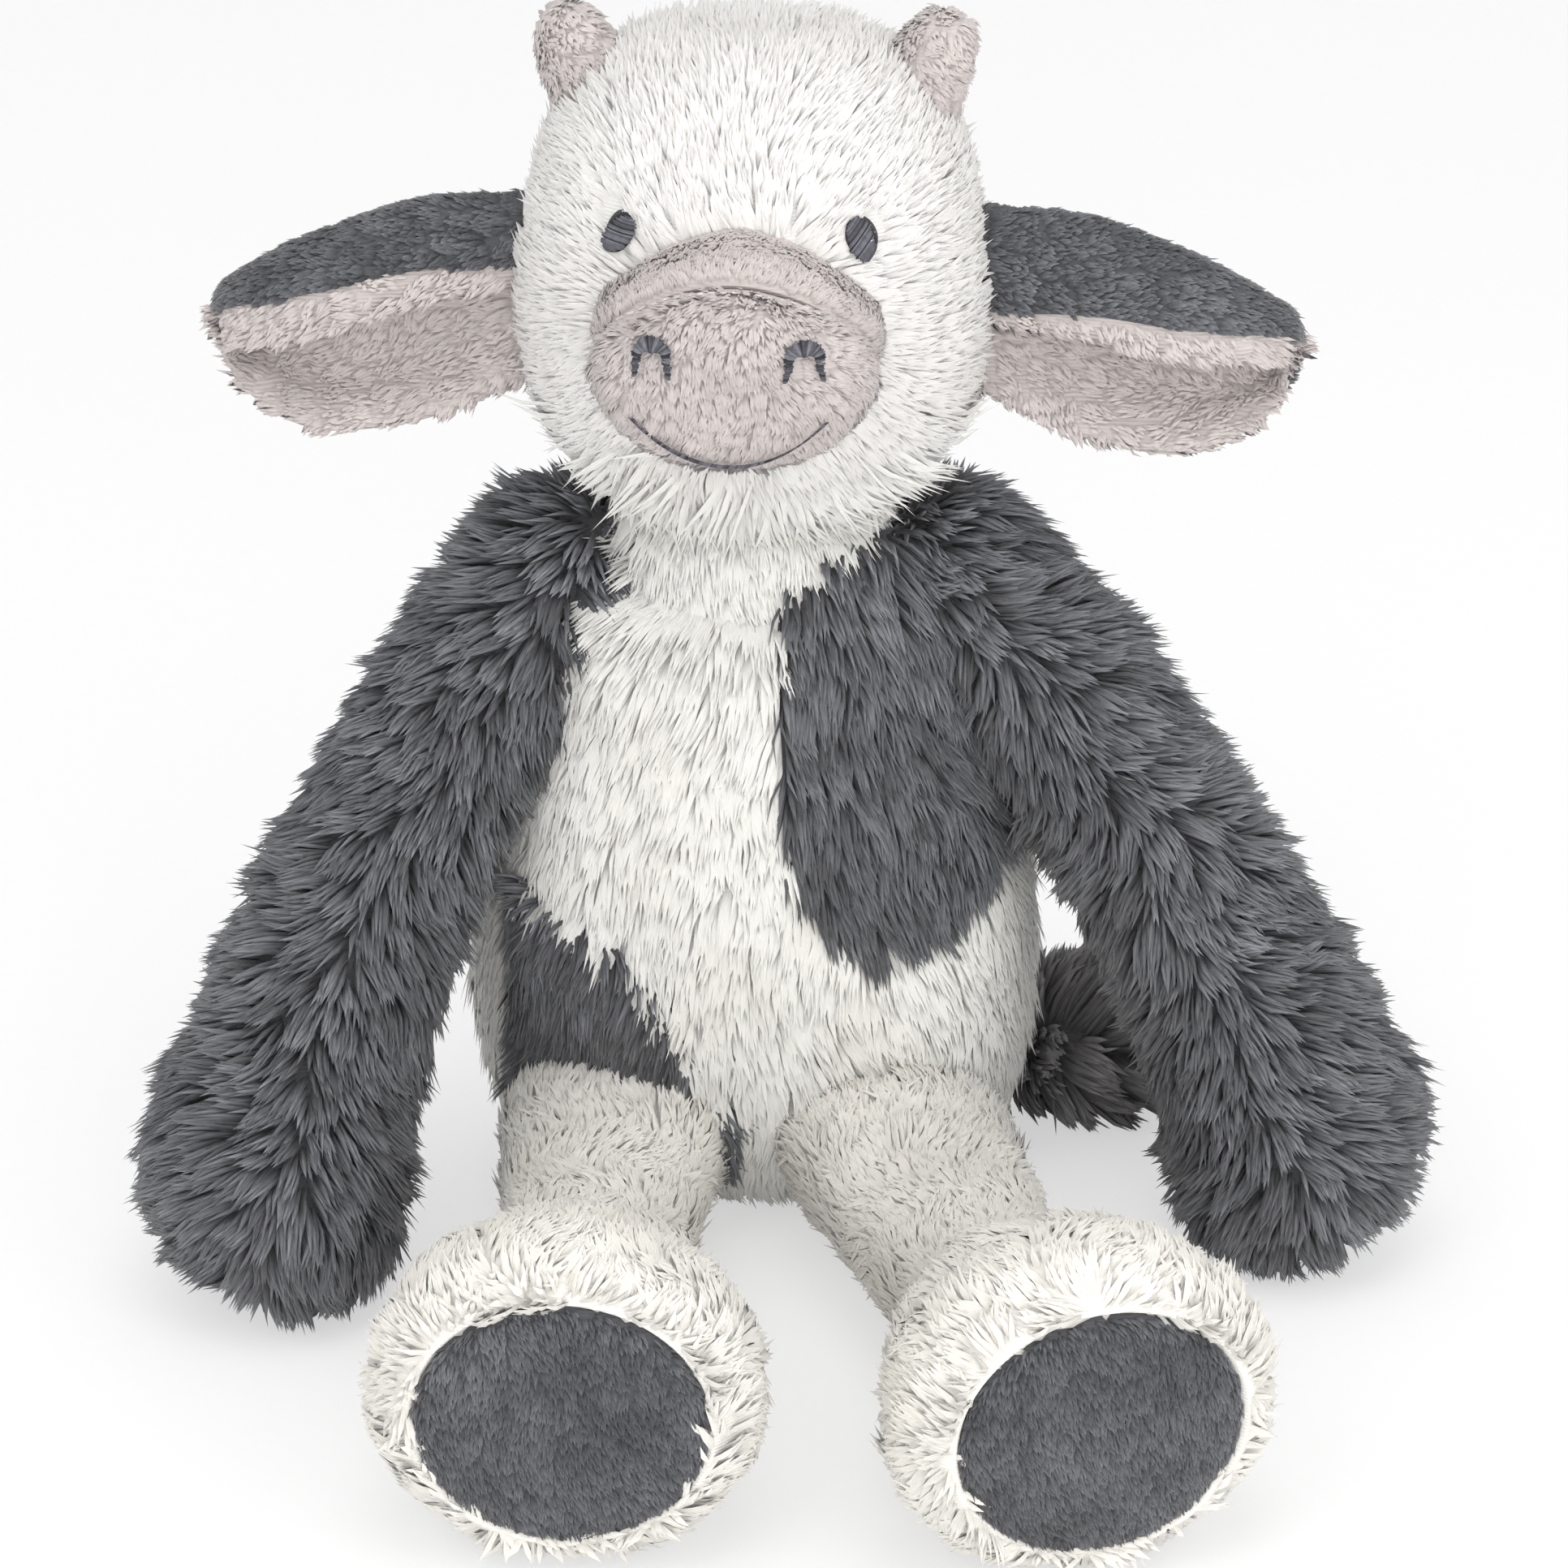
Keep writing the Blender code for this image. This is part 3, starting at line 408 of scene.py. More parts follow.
NOSTRIL_LEG_SLANT = 0.0003
NOSTRIL_LEG_SHARE = 0.75
NOSTRIL_CROWN_SHARE = 0.60
MOUTH_STITCHES = 120
MOUTH_END_SHARE = 0.25
MOUTH_SLANT = 0.0004

# The horns' cloth and comb.
HORN_SWELL = 1.12
HORN_CLOTH_SHARE = 0.5
HORN_IN_HEAD = 0.006
HORN_COMB = (0.35, 0.0, -1.0)

# The ears: how finely they are meshed, then how they fold, sag, close at the tip and roll over at the rims.
EAR_ALONG = 44
EAR_ACROSS = 40
EAR_HANG_BAND = (0.05, 0.85)
EAR_FOLD_BAND = (0.70, 1.0)
EAR_HANG_FORWARD = 0.35
EAR_CREST_BAND = (0.35, 0.70)
EAR_RIM_BAND = (0.78, 1.0)
EAR_RIM_KEPT = 0.8
EAR_TIP_BAND = (0.86, 1.0)
EAR_TIP_CLOSING = 0.65
EAR_EDGE_SHARE = 0.25
EAR_BACK_EDGES = (0.60, 0.50)
EAR_LINING_EDGES = (0.10, 0.08)
EAR_TOP_EDGE = 0.07
EAR_LAYER_GAP = 0.0001
EAR_LIP_BAND = (0.74, 0.90)
EAR_LIP_TIP_BAND = (0.02, 0.22)
EAR_LIP_ROOT_BAND = (0.05, 0.5)
EAR_LIP_ROOT_SHARE = 0.55
EAR_ROLL_BAND = (0.88, 1.0)
EAR_ROLL = (0.75, 0.30, 0.9)
EAR_TUCK = 0.0018
EAR_TUCK_BAND = (0.0, 0.12)
EAR_TUCK_TIP_BAND = (0.90, 1.0)
EAR_TUCK_WAY = (0.75, 0.60)
EAR_BARE_ACROSS = 5
EAR_BARE_ALONG = 41
EAR_LAYERS = (
    ("back", True, "slate_cloth", "charcoal_pile", (1.0, 0.0, -0.25), 1.1),
    ("lining", False, "taupe_cloth", "taupe_pile", (0.8, 0.0, -0.6), 1.25),
)

# The arms' fur: waved in length, and shorter at the hand.
LIMB_IN_BODY = 0.010
ARM_LENGTH_WAVE = 0.05
ARM_LENGTH_SWAY = 0.10
HAND_BAND = (0.90, 0.99)
HAND_SHORTER = 0.15

# The legs: where the thigh is pressed flat, the cloth's depth, then the fur's changes along the leg.
THIGH_BAND = (0.18, 0.50)
LEG_CLOTH_DEPTH = 0.0040
FOOT_CLOTH_RISE = 0.0012
FOOT_BAND = (0.74, 0.90)
HIP_BAND = (0.10, 0.30)
HIP_LONGER = 0.55
LEG_LENGTH_WAVE = 0.012
LEG_LENGTH_SWAY = 0.25
FOOT_LONGER = 0.15
FOOT_LOWER = 0.06
LEG_LOW_HEIGHT = 0.005
LEG_LOW_THINNED = 0.6

# The soles: the flat behind each, then its own low dome.
SOLE_SEAT = 0.0065
SOLE_RIM_BAND = (0.90, 1.10)
SOLE_ZONE = -0.95
SOLE_POINTS = 72
SOLE_ROWS = 20
SOLE_SINK = 0.0032
SOLE_RAISED = 0.0040
SOLE_THICKNESS = 0.0022
SOLE_FACING = 0.1
SOLE_COMB = (0.25, 0.0, -1.0)

# The tail's cloth and piles.
TAIL_STEPS = 60
TAIL_CLOTH_SHARE = 0.72
TAIL_CORD_PILE = 0.0040
TAIL_CORD_COMB = (1.0, 0.0, -0.2)
TUFT_HEART_SHARE = 0.62
TUFT_COMB = (0.0, 0.0, 1.0)

# How the long furs are combed.
BODY_COMB = (0.0, -0.10, -1.0)
BODY_FAN = 0.35
FACE_MIDDLE = -0.052
HEAD_BACK_BAND = (-0.005, 0.025)
CHIN_TOP = 0.020
CHIN_FADE = 0.016
CHIN_COMB = (0.0, -0.35, -1.0)
CHIN_FAN = 0.55
ARM_PARTING = 2.2
ARM_PARTING_BAND = (0.2, 1.2)
ARM_FAN = 0.95
SHIN_COMB = 0.25
FOOT_COMB = 0.75
FOOT_FAN = 0.9
FOOT_COMB_BAND = (0.66, 0.84)
THIGH_COMB_BAND = (0.15, 0.40)
THIGH_COMB_DROP = 0.25
LEG_SWIRLS = ((11, 0.022), (12, 0.025))
MUZZLE_COMB_FORWARD = -0.4
MUZZLE_FAN = 1.3

# The furs: colour, painted shade at the root and painted highlight at the tip, tint of each tuft, streaks,
# sheen, roughness, patches and warmth. Then the cloths, as colour and a shade factor that paints the shade
# between the tufts onto the backing, and the threads, as colour, shade and range of tints.
FURS = {
    "white_fur": ("white", 0.96, 1.02, 0.05, 0.05, 0.15, 0.72, 0.02, 0.3),
    "belly_fur": ("belly", 0.95, 1.02, 0.05, 0.06, 0.15, 0.72, 0.03, 0.6),
    "cream_fur": ("cream", 0.94, 1.02, 0.05, 0.05, 0.20, 0.72, 0.03, 0.3),
    "charcoal_fur": ("charcoal", 0.20, 1.90, 0.62, 0.50, 0.20, 0.52, 0.06, 0.0),
    "charcoal_pile": ("slate", 0.45, 1.60, 0.50, 0.30, 0.40, 0.72, 0.30, 0.0),
    "taupe_pile": ("taupe", 0.78, 1.06, 0.10, 0.08, 0.30, 0.72, 0.06, 0.0),
    "dark_tuft": ("tuft", 0.45, 1.60, 0.25, 0.30, 0.12, 0.65, 0.06, 0.0),
}
# Each cloth's factor darkens its colour as painted shade between the tufts, most under the charcoal fur and
# the tail's tuft.
CLOTHS = {
    "white_cloth": ("white", 0.98), "cream_cloth": ("cream", 0.99), "charcoal_cloth": ("charcoal", 0.35),
    "slate_cloth": ("slate", 0.75), "taupe_cloth": ("taupe", 0.95), "tuft_cloth": ("tuft", 0.5),
}
THREADS = {"thread": ("thread", 1.0, 0.3, 2.5), "seam_thread": ("taupe", 1.04, 0.85, 1.05)}
NOISE_SPAN = (0.3, 0.7)

# The stage: the sweep's floor, bend and wall, then the lamps as (place, aim, size, power).
SWEEP_NEAR = -2.2
SWEEP_FAR = 1.4
SWEEP_BEND = 0.8
SWEEP_BEND_START = 0.15
SWEEP_WALL = 2.2
SWEEP_HEIGHT = 2.6
SWEEP_HALF_WIDTH = 2.6
SWEEP_COLUMNS = 14
SWEEP_ROWS = 10
SWEEP_GLOW = 0.55
AIR_STRENGTH = 0.84
LAMPS = {
    "key_lamp": ((-0.70, -1.10, 1.40), (0.0, -0.06, 0.12), 0.8, 3.0),
    "fill_lamp": ((0.95, -1.10, 0.90), (0.0, -0.06, 0.12), 1.1, 4.0),
    "front_lamp": ((0.10, -1.50, 0.50), (0.0, -0.06, 0.07), 0.8, 7.0),
    "top_lamp": ((0.05, -0.40, 1.55), (0.0, -0.08, 0.06), 0.8, 4.2),
}


def linear(red, green, blue):
    """A colour given in screen steps of 0 to 255, as the linear values that Blender's colours hold."""
    share = np.array((red, green, blue)) / 255.0
    curve = np.where(share <= 0.04045, share / 12.92, ((share + 0.055) / 1.055) ** 2.4)
    return tuple(float(c) for c in curve)


# Settings


def length_setting(name, description, metres):
    """A length in the sidebar, in metres."""
    return FloatProperty(
        name=name, description=description, default=metres, min=0.0, unit="LENGTH", precision=5
    )


def colour_setting(name, description, colour):
    """A colour in the sidebar, given in linear values."""
    return FloatVectorProperty(
        name=name, description=description, default=colour, size=3, min=0.0, max=1.0, subtype="COLOR"
    )


class CowPile(bpy.types.PropertyGroup):
    """How long, thick and dense each pile is."""

    body_length: length_setting("Body fur", "Length of the body's tufts", 0.0125)
    arm_length: length_setting("Arm fur", "Length of the arms' tufts", 0.0120)
    head_length: length_setting("Head fur", "Length of the head's tufts", 0.0092)
    leg_length: length_setting("Leg plush", "Length of the legs' clumps", 0.0062)
    ear_length: length_setting("Ear pile", "Length of the ears' pile", 0.0030)
    muzzle_length: length_setting("Muzzle fleece", "Length of the muzzle's clumps", 0.0034)
    sole_length: length_setting("Sole pile", "Length of the soles' pile", 0.0032)
    tail_length: length_setting("Tail tuft", "Length of the tail's clumps", 0.0150)
    long_cloth: length_setting("Long pile depth", "How far long fur stands off its backing cloth", 0.0050)
    short_cloth: length_setting("Short pile depth", "How far short pile stands off its backing cloth", 0.0022)
    density: FloatProperty(
        name="Density", description="Share of the full number of tufts", default=1.0, min=0.05, max=2.0,
        subtype="FACTOR",
    )
    seed: IntProperty(name="Seed", description="Which scatter of tufts is made", default=7, min=0)


class CowColours(bpy.types.PropertyGroup):
    """What colour each cloth and thread is."""

    white: colour_setting("White fur", "Head", linear(239, 237, 234))
    belly: colour_setting("Warm white fur", "Body", linear(246, 245, 241))
    cream: colour_setting("Cream plush", "Legs and feet", linear(243, 240, 233))
    charcoal: colour_setting("Charcoal fur", "Arms and patches", linear(106, 107, 111))
    slate: colour_setting("Charcoal pile", "Ear backs and soles", linear(94, 95, 99))
    taupe: colour_setting("Taupe pile", "Muzzle, horns and ear linings", linear(209, 200, 197))
    tuft: colour_setting("Tail tuft", "The end of the tail", linear(118, 116, 117))
    thread: colour_setting("Thread", "Embroidered eyes, nostrils and mouth", linear(78, 78, 84))
    floor: colour_setting("Floor", "Floor and backdrop", linear(246, 246, 246))


# Arrays and frames


def unit(vectors):
    """Each vector over its own length."""
    return vectors / np.maximum(np.linalg.norm(vectors, axis=-1, keepdims=True), 1e-12)


def shifted(x, y, z):
    """A shift by x, y and z, as a matrix."""
    matrix = np.eye(4)
    matrix[:3, 3] = (x, y, z)
    return matrix


def turned(axis, angle):
    """A turn by the angle about one of the three axes, anticlockwise seen from the axis's end."""
    matrix = np.eye(4)
    a, b = [(1, 2), (2, 0), (0, 1)]["XYZ".index(axis)]
    matrix[a, a] = matrix[b, b] = math.cos(angle)
    matrix[b, a] = math.sin(angle)
    matrix[a, b] = -math.sin(angle)
    return matrix


def placed(points, matrix):
    """Points of a form's own frame, turned and shifted into the toy's frame."""
    return points @ matrix[:3, :3].T + matrix[:3, 3]


def taken_back(points, matrix):
    """Points of the toy's frame, shifted and turned back into a form's own frame."""
    return (points - matrix[:3, 3]) @ matrix[:3, :3]


def directed(vectors, matrix):
    """Directions of a form's own frame, turned into the toy's frame."""
    return vectors @ matrix[:3, :3].T


def stood(shell, matrix):
    """A shell of a form's own frame, placed in the toy's frame."""
    return placed(shell[0], matrix), *shell[1:]


def fade(values, low, high):
    """0 below low and 1 above high, with a smooth S between them."""
    share = np.clip((values - low) / (high - low), 0.0, 1.0)
    return share * share * (3.0 - 2.0 * share)


def curve(knots, shares, measured=None):
    """A curve through the knots at these shares of its length. Between two knots it is the cubic whose slopes
    at both are the knots' own differences over distance."""
    knots = np.asarray(knots, float)
    steps = np.diff(knots if measured is None else knots[:, :measured], axis=0)
    at = np.r_[0.0, np.cumsum(np.maximum(np.linalg.norm(steps, axis=1), 1e-9))]
    at /= at[-1]
    slopes = np.gradient(knots, at, axis=0)
    i = np.clip(np.searchsorted(at, shares, "right") - 1, 0, len(at) - 2)
    gap = (at[i + 1] - at[i])[:, None]
    t = (np.asarray(shares) - at[i])[:, None] / gap
    start = (2 * t**3 - 3 * t**2 + 1) * knots[i] + (t**3 - 2 * t**2 + t) * gap * slopes[i]
    return start + (3 * t**2 - 2 * t**3) * knots[i + 1] + (t**3 - t**2) * gap * slopes[i + 1]


def smooth_outline(shares, half, middle, count=120):
    """The closed outline through these shares of the half sizes about the middle: one round of a smooth curve
    that runs a little past its own start, picked at even steps."""
    points = np.array(shares)
    knots = np.vstack([points[-3:], points, points[:3]])
    fine = curve(knots, np.linspace(0, 1, 6 * count))
    start = np.argmin(np.linalg.norm(fine - points[0], axis=1)[: 3 * count])
    end = len(fine) - 1 - np.argmin(np.linalg.norm(fine - points[0], axis=1)[::-1][: 3 * count])
    pick = np.linspace(start, end, count, endpoint=False).astype(int)
    return fine[pick] * np.array(half) + np.array(middle)


def within(x, z, outline):
    """Whether each point is inside the outline: its line to the right crosses an odd number of edges."""
    a, b = outline, np.roll(outline, -1, axis=0)
    above = (a[:, 1] > z[:, None]) != (b[:, 1] > z[:, None])
    rise = np.where(np.abs(b[:, 1] - a[:, 1]) < 1e-12, 1e-12, b[:, 1] - a[:, 1])
    cross = a[:, 0] + (z[:, None] - a[:, 1]) / rise * (b[:, 0] - a[:, 0])
    return (above & (cross > x[:, None])).sum(axis=1) % 2 == 1


# Forms


def ring_table(kind, side=LEFT):
    """Each form's rings, one row each: along, half width, half depth, across, forward. Each value is a share
    from the form's table times one of its sizes."""
    rows = []
    if kind == "body":
        for h, w, d in BODY_RING_SHARES:
            rows.append((h * BODY_HEIGHT, w * BODY_HALF_WIDTH, d * BODY_HALF_DEPTH, 0, h * BODY_LEAN))
    elif kind == "neck":
        rows += ball_rows(NECK_RADIUS, NECK_TURNS)
    elif kind == "head":
        for h, w, d in HEAD_RING_SHARES:
            rows.append((h * HEAD_HEIGHT, w * HEAD_HALF_WIDTH, d * HEAD_HALF_DEPTH, 0, 0))
    elif kind == "muzzle":
        tall = MUZZLE_HALF_HEIGHT
        for a, w, h, r in MUZZLE_RING_SHARES:
            rows.append((-a * MUZZLE_LENGTH, w * MUZZLE_HALF_WIDTH, h * tall, 0, r * tall))
    elif kind == "horn":
        rows += round_rows(HORN_RING_SHARES, HORN_LENGTH, HORN_RADIUS)
    elif kind == "arm":
        rows += ball_rows(SHOULDER_RADIUS, LIMB_BALL_TURNS)
        wide = ARM_HALF_WIDTH
        rows += [(-a * ARM_LENGTH, w * wide, w * wide, side * b * ARM_BOW, 0) for a, w, b in ARM_RING_SHARES]
    elif kind == "leg":
        rows += ball_rows(HIP_RADIUS, LIMB_BALL_TURNS)
        rows += round_rows(LEG_RING_SHARES, -LEG_LENGTH, LEG_HALF_WIDTH)
        for a, w, h, r in FOOT_RING_SHARES:
            rows.append((-a * LEG_LENGTH, w * FOOT_HALF_WIDTH, h * FOOT_HALF_HEIGHT, 0, r * FOOT_RISE))
    else:
        rows += round_rows(TUFT_RING_SHARES, TUFT_LENGTH, TUFT_RADIUS)
    return np.array(rows, float)


def round_rows(shares, length, radius):
    """Round rings from (length, radius) shares."""
    return [(a * length, r * radius, r * radius, 0, 0) for a, r in shares]


def ball_rows(radius, turns):
    """Rings of a ball at these angles above its middle: sines along it, and cosines as half sizes."""
    turns = np.radians(turns)
    return [(radius * math.sin(t), radius * math.cos(t), radius * math.cos(t), 0, 0) for t in turns]


def form(kind, side=LEFT):
    """A form's rings, and where its own frame stands."""
    return ring_table(kind, side), frame_of(kind, side)


def frame_of(kind, side=LEFT):
    """Where each form's own frame stands in the toy's frame."""
    if kind == "body":
        return np.eye(4)
    if kind == "neck":
        return shifted(0, -NECK_FORWARD, NECK_HEIGHT)
    if kind == "head":
        return shifted(0, -HEAD_FORWARD, HEAD_BASE_HEIGHT) @ turned("Z", HEAD_TURN)
    if kind == "muzzle":
        return frame_of("head") @ shifted(0, 0, MUZZLE_HEIGHT) @ turned("X", -math.pi / 2)
    if kind == "horn":
        return frame_of("head") @ shifted(side * HORN_SPREAD, 0, HORN_HEIGHT) @ turned("Y", side * HORN_SPLAY)
    if kind == "ear":
        return frame_of("head") @ shifted(side * EAR_ROOT_SPREAD, EAR_ROOT_BACK, EAR_ROOT_HEIGHT)
    if kind == "arm":
        stand = shifted(side * SHOULDER_SPREAD, -SHOULDER_FORWARD, SHOULDER_HEIGHT)
        return stand @ turned("Y", -side * ARM_SPLAY[side]) @ turned("X", -ARM_FORWARD[side])
    if kind == "leg":
        stand = shifted(side * HIP_SPREAD, -HIP_FORWARD[side], HIP_HEIGHT)
        return stand @ turned("Z", LEG_SPLAY[side]) @ turned("X", -math.pi / 2)
    end = tail_points(2)[-1]
    return shifted(*end) @ turned("Z", TUFT_TURN) @ turned("Y", TUFT_LIFT)


def stuffed(rings, matrix, around, rows):
    """A closed stuffed form. Its rings are ellipses, and their middles and half sizes follow a smooth curve
    from a pole at one end to a pole at the other. Returns its points, quads and pole triangles."""
    first, last = rings[0].copy(), rings[-1].copy()
    first[1:3] = last[1:3] = 0.0
    knots = np.vstack([first, rings, last])
    line = curve(knots, np.linspace(0, 1, rows + 1)[1:-1], measured=3)
    along, wide, deep, across, forward = line.T
    wide, deep = np.maximum(wide, 2e-4), np.maximum(deep, 2e-4)
    turn = np.linspace(0, 2 * np.pi, around, endpoint=False)
    x = across[:, None] + wide[:, None] * np.cos(turn)
    y = -forward[:, None] + deep[:, None] * np.sin(turn)
    z = np.repeat(along[:, None], around, axis=1)
    grid = np.stack([x, y, z], axis=-1).reshape(-1, 3)
    ends = np.array([(first[3], -first[4], first[0]), (last[3], -last[4], last[0])])
    points = np.vstack([ends[:1], grid, ends[1:]])
    quads, fans = round_faces(rows - 1, around)
    return outward(placed(points, matrix), quads, fans)


def round_faces(rows, around):
    """The quads between rows of a round grid, and the fans of triangles that close both ends on poles."""
    j = np.arange(around)
    k = (j + 1) % around
    i = 1 + around * np.arange(rows - 1)[:, None]
    quads = np.stack([i + j, i + k, i + around + k, i + around + j], axis=-1).reshape(-1, 4)
    low = np.stack([np.zeros_like(j), 1 + k, 1 + j], axis=-1)
    top = 1 + around * (rows - 1)
    high = np.stack([np.full_like(j, 1 + around * rows), top + j, top + k], axis=-1)
    return quads, np.vstack([low, high])


def triangles(quads, fans):
    """Each quad split along its first diagonal, then the fans."""
    return np.vstack([quads[:, [0, 1, 2]], quads[:, [0, 2, 3]], fans])


def outward(points, quads, fans):
    """Turns all faces round where the volume that they enclose comes out negative."""
    a, b, c = (points[triangles(quads, fans)[:, i]] for i in range(3))
    if np.einsum("ij,ij->", a, np.cross(b, c)) < 0:
        quads, fans = quads[:, ::-1], fans[:, ::-1]
    return points, quads, fans


def normals_of(points, quads, fans):
    """Each point's outward direction: the mean of its triangles' directions, weighed by area."""
    tris = triangles(quads, fans)
    a, b, c = (points[tris[:, i]] for i in range(3))
    face = np.cross(b - a, c - a)
    total = np.zeros_like(points)
    for i in range(3):
        np.add.at(total, tris[:, i], face)
    return unit(total)


def drawn_in(shell, depth):
    """The same shell moved inwards along its own normals, clear of the floor."""
    points, quads, fans = shell
    moved = points - normals_of(points, quads, fans) * np.reshape(depth, (-1, 1))
    moved[:, 2] = soft_floor(moved[:, 2])
    return moved, quads, fans


def soft_floor(height):
    """Heights near the floor are pressed together by a falling exponential, so that nothing goes under it."""
    pressed = FLOOR_GAP + FLOOR_SOFTNESS * np.exp((height - FLOOR_GAP - FLOOR_SOFTNESS) / FLOOR_SOFTNESS)
    return np.where(height < FLOOR_GAP + FLOOR_SOFTNESS, pressed, height)


def depth_in(points, rings, matrix):
    """How deep each point lies inside a form, in metres, and below zero outside it: what is left of the way
    from the ring's middle to its edge, and no more than the way to the form's nearer end."""
    local = taken_back(points, matrix)
    rings = rings[np.argsort(rings[:, 0])]
    wide, deep, across, forward = (np.interp(local[:, 2], rings[:, 0], rings[:, i]) for i in range(1, 5))
    share = np.hypot((local[:, 0] - across) / wide, (local[:, 1] + forward) / deep)
    inside = (1.0 - share) * np.minimum(wide, deep)
    beyond = np.maximum(rings[0, 0] - local[:, 2], local[:, 2] - rings[-1, 0])
    return np.minimum(inside, -beyond)


def front_of(rings, height, x):
    """How far a form's front stands forward at this height and this far across, by its rings' ellipses."""
    height = np.broadcast_to(height, np.shape(x))
    wide, deep, across, forward = (np.interp(height, rings[:, 0], rings[:, i]) for i in range(1, 5))
    share = np.clip((x - across) / wide, -0.999, 0.999)
    return forward + deep * np.sqrt(1.0 - share**2)


def waves(points, seed, size):
    """Slow waves over the toy: three crossed sines of about this wavelength."""
    rng = np.random.default_rng(seed)
    ways = unit(rng.normal(size=(3, 3))) * 2 * np.pi / size
    starts = rng.uniform(0, 2 * np.pi, 3)
    return np.sin(points @ ways.T + starts).sum(axis=1) / 3.0


# Meshes


def put(name, points, loops, sizes, look, uv=None, strand=None, normals=None):
    """Makes a smooth mesh object from arrays: corners' point numbers and each face's number of corners."""
    mesh = bpy.data.meshes.new(name)
    mesh.vertices.add(len(points))
    mesh.vertices.foreach_set("co", np.ascontiguousarray(points, np.float32).ravel())
    mesh.loops.add(len(loops))
    mesh.loops.foreach_set("vertex_index", np.ascontiguousarray(loops, np.int32))
    mesh.polygons.add(len(sizes))
    starts = np.r_[0, np.cumsum(sizes)[:-1]].astype(np.int32)
    mesh.polygons.foreach_set("loop_start", starts)
    mesh.update(calc_edges=True)
    mesh.shade_smooth()
    if uv is not None:
        layer = mesh.uv_layers.new(name="OFBake")
        layer.data.foreach_set("uv", np.ascontiguousarray(uv, np.float32).ravel())
    if strand is not None:
        held = mesh.attributes.new("strand", "FLOAT_VECTOR", "POINT")
        held.data.foreach_set("vector", np.ascontiguousarray(strand, np.float32).ravel())
    if normals is not None:
        mesh.normals_split_custom_set_from_vertices(np.ascontiguousarray(normals, np.float32))
    mesh.materials.append(look)
    made = bpy.data.objects.new(name, mesh)
    bpy.context.scene.collection.objects.link(made)
    return made


def put_shell(name, shell, look, strand=None):
    """Makes a mesh object from a shell's points, quads and fans."""
    points, quads, fans = shell
    loops = np.r_[quads.ravel(), fans.ravel()]
    sizes = np.r_[np.full(len(quads), 4), np.full(len(fans), 3)]
    return put(name, points, loops, sizes, look, strand=strand)


def joined(shells):
    """Several shells as one, each one's point numbers moved past those before it."""
    offset, points, quads, fans = 0, [], [], []
    for p, q, f in shells:
        points.append(p)
        quads.append(q + offset)
        fans.append(f + offset)
        offset += len(p)
    return np.vstack(points), np.vstack(quads), np.vstack(fans)


def scattered(shell, count, seed, keep=None):
    """Evenly scattered roots on a shell, with their normals. The count is spread over the faces by area times
    keep, in the faces' own order, so that near faces share evenly."""
    points, quads, fans = shell
    rng = np.random.default_rng(seed)
    count = max(FEWEST_TUFTS, int(count * bpy.context.scene.cow_pile.density))
    tris = triangles(quads, fans)
    tris = tris[np.argsort(tris.min(axis=1), kind="stable")]
    a, b, c = (points[tris[:, i]] for i in range(3))
    face = np.cross(b - a, c - a)
    weight = np.linalg.norm(face, axis=1)
    if keep is not None:
        weight = weight * keep((a + b + c) / 3.0, unit(face))
    total = np.cumsum(weight)
    pick = np.searchsorted(total, (np.arange(count) + rng.random(count)) / count * total[-1])
    pick = np.minimum(pick, len(tris) - 1)
    r, s = np.sqrt(rng.random(count)), rng.random(count)
    share = np.stack([1 - r, r * (1 - s), r * s], axis=1)[..., None]
    normals = normals_of(points, quads, fans)
    return (points[tris[pick]] * share).sum(axis=1), unit((normals[tris[pick]] * share).sum(axis=1))


def nearest(points, centres):
    """For each point, which centre is nearest, by squared distances worked out as one product of arrays."""
    middle = centres.mean(axis=0)
    p, c = points - middle, centres - middle
    return np.argmin((c**2).sum(axis=1) - 2.0 * p @ c.T, axis=1)


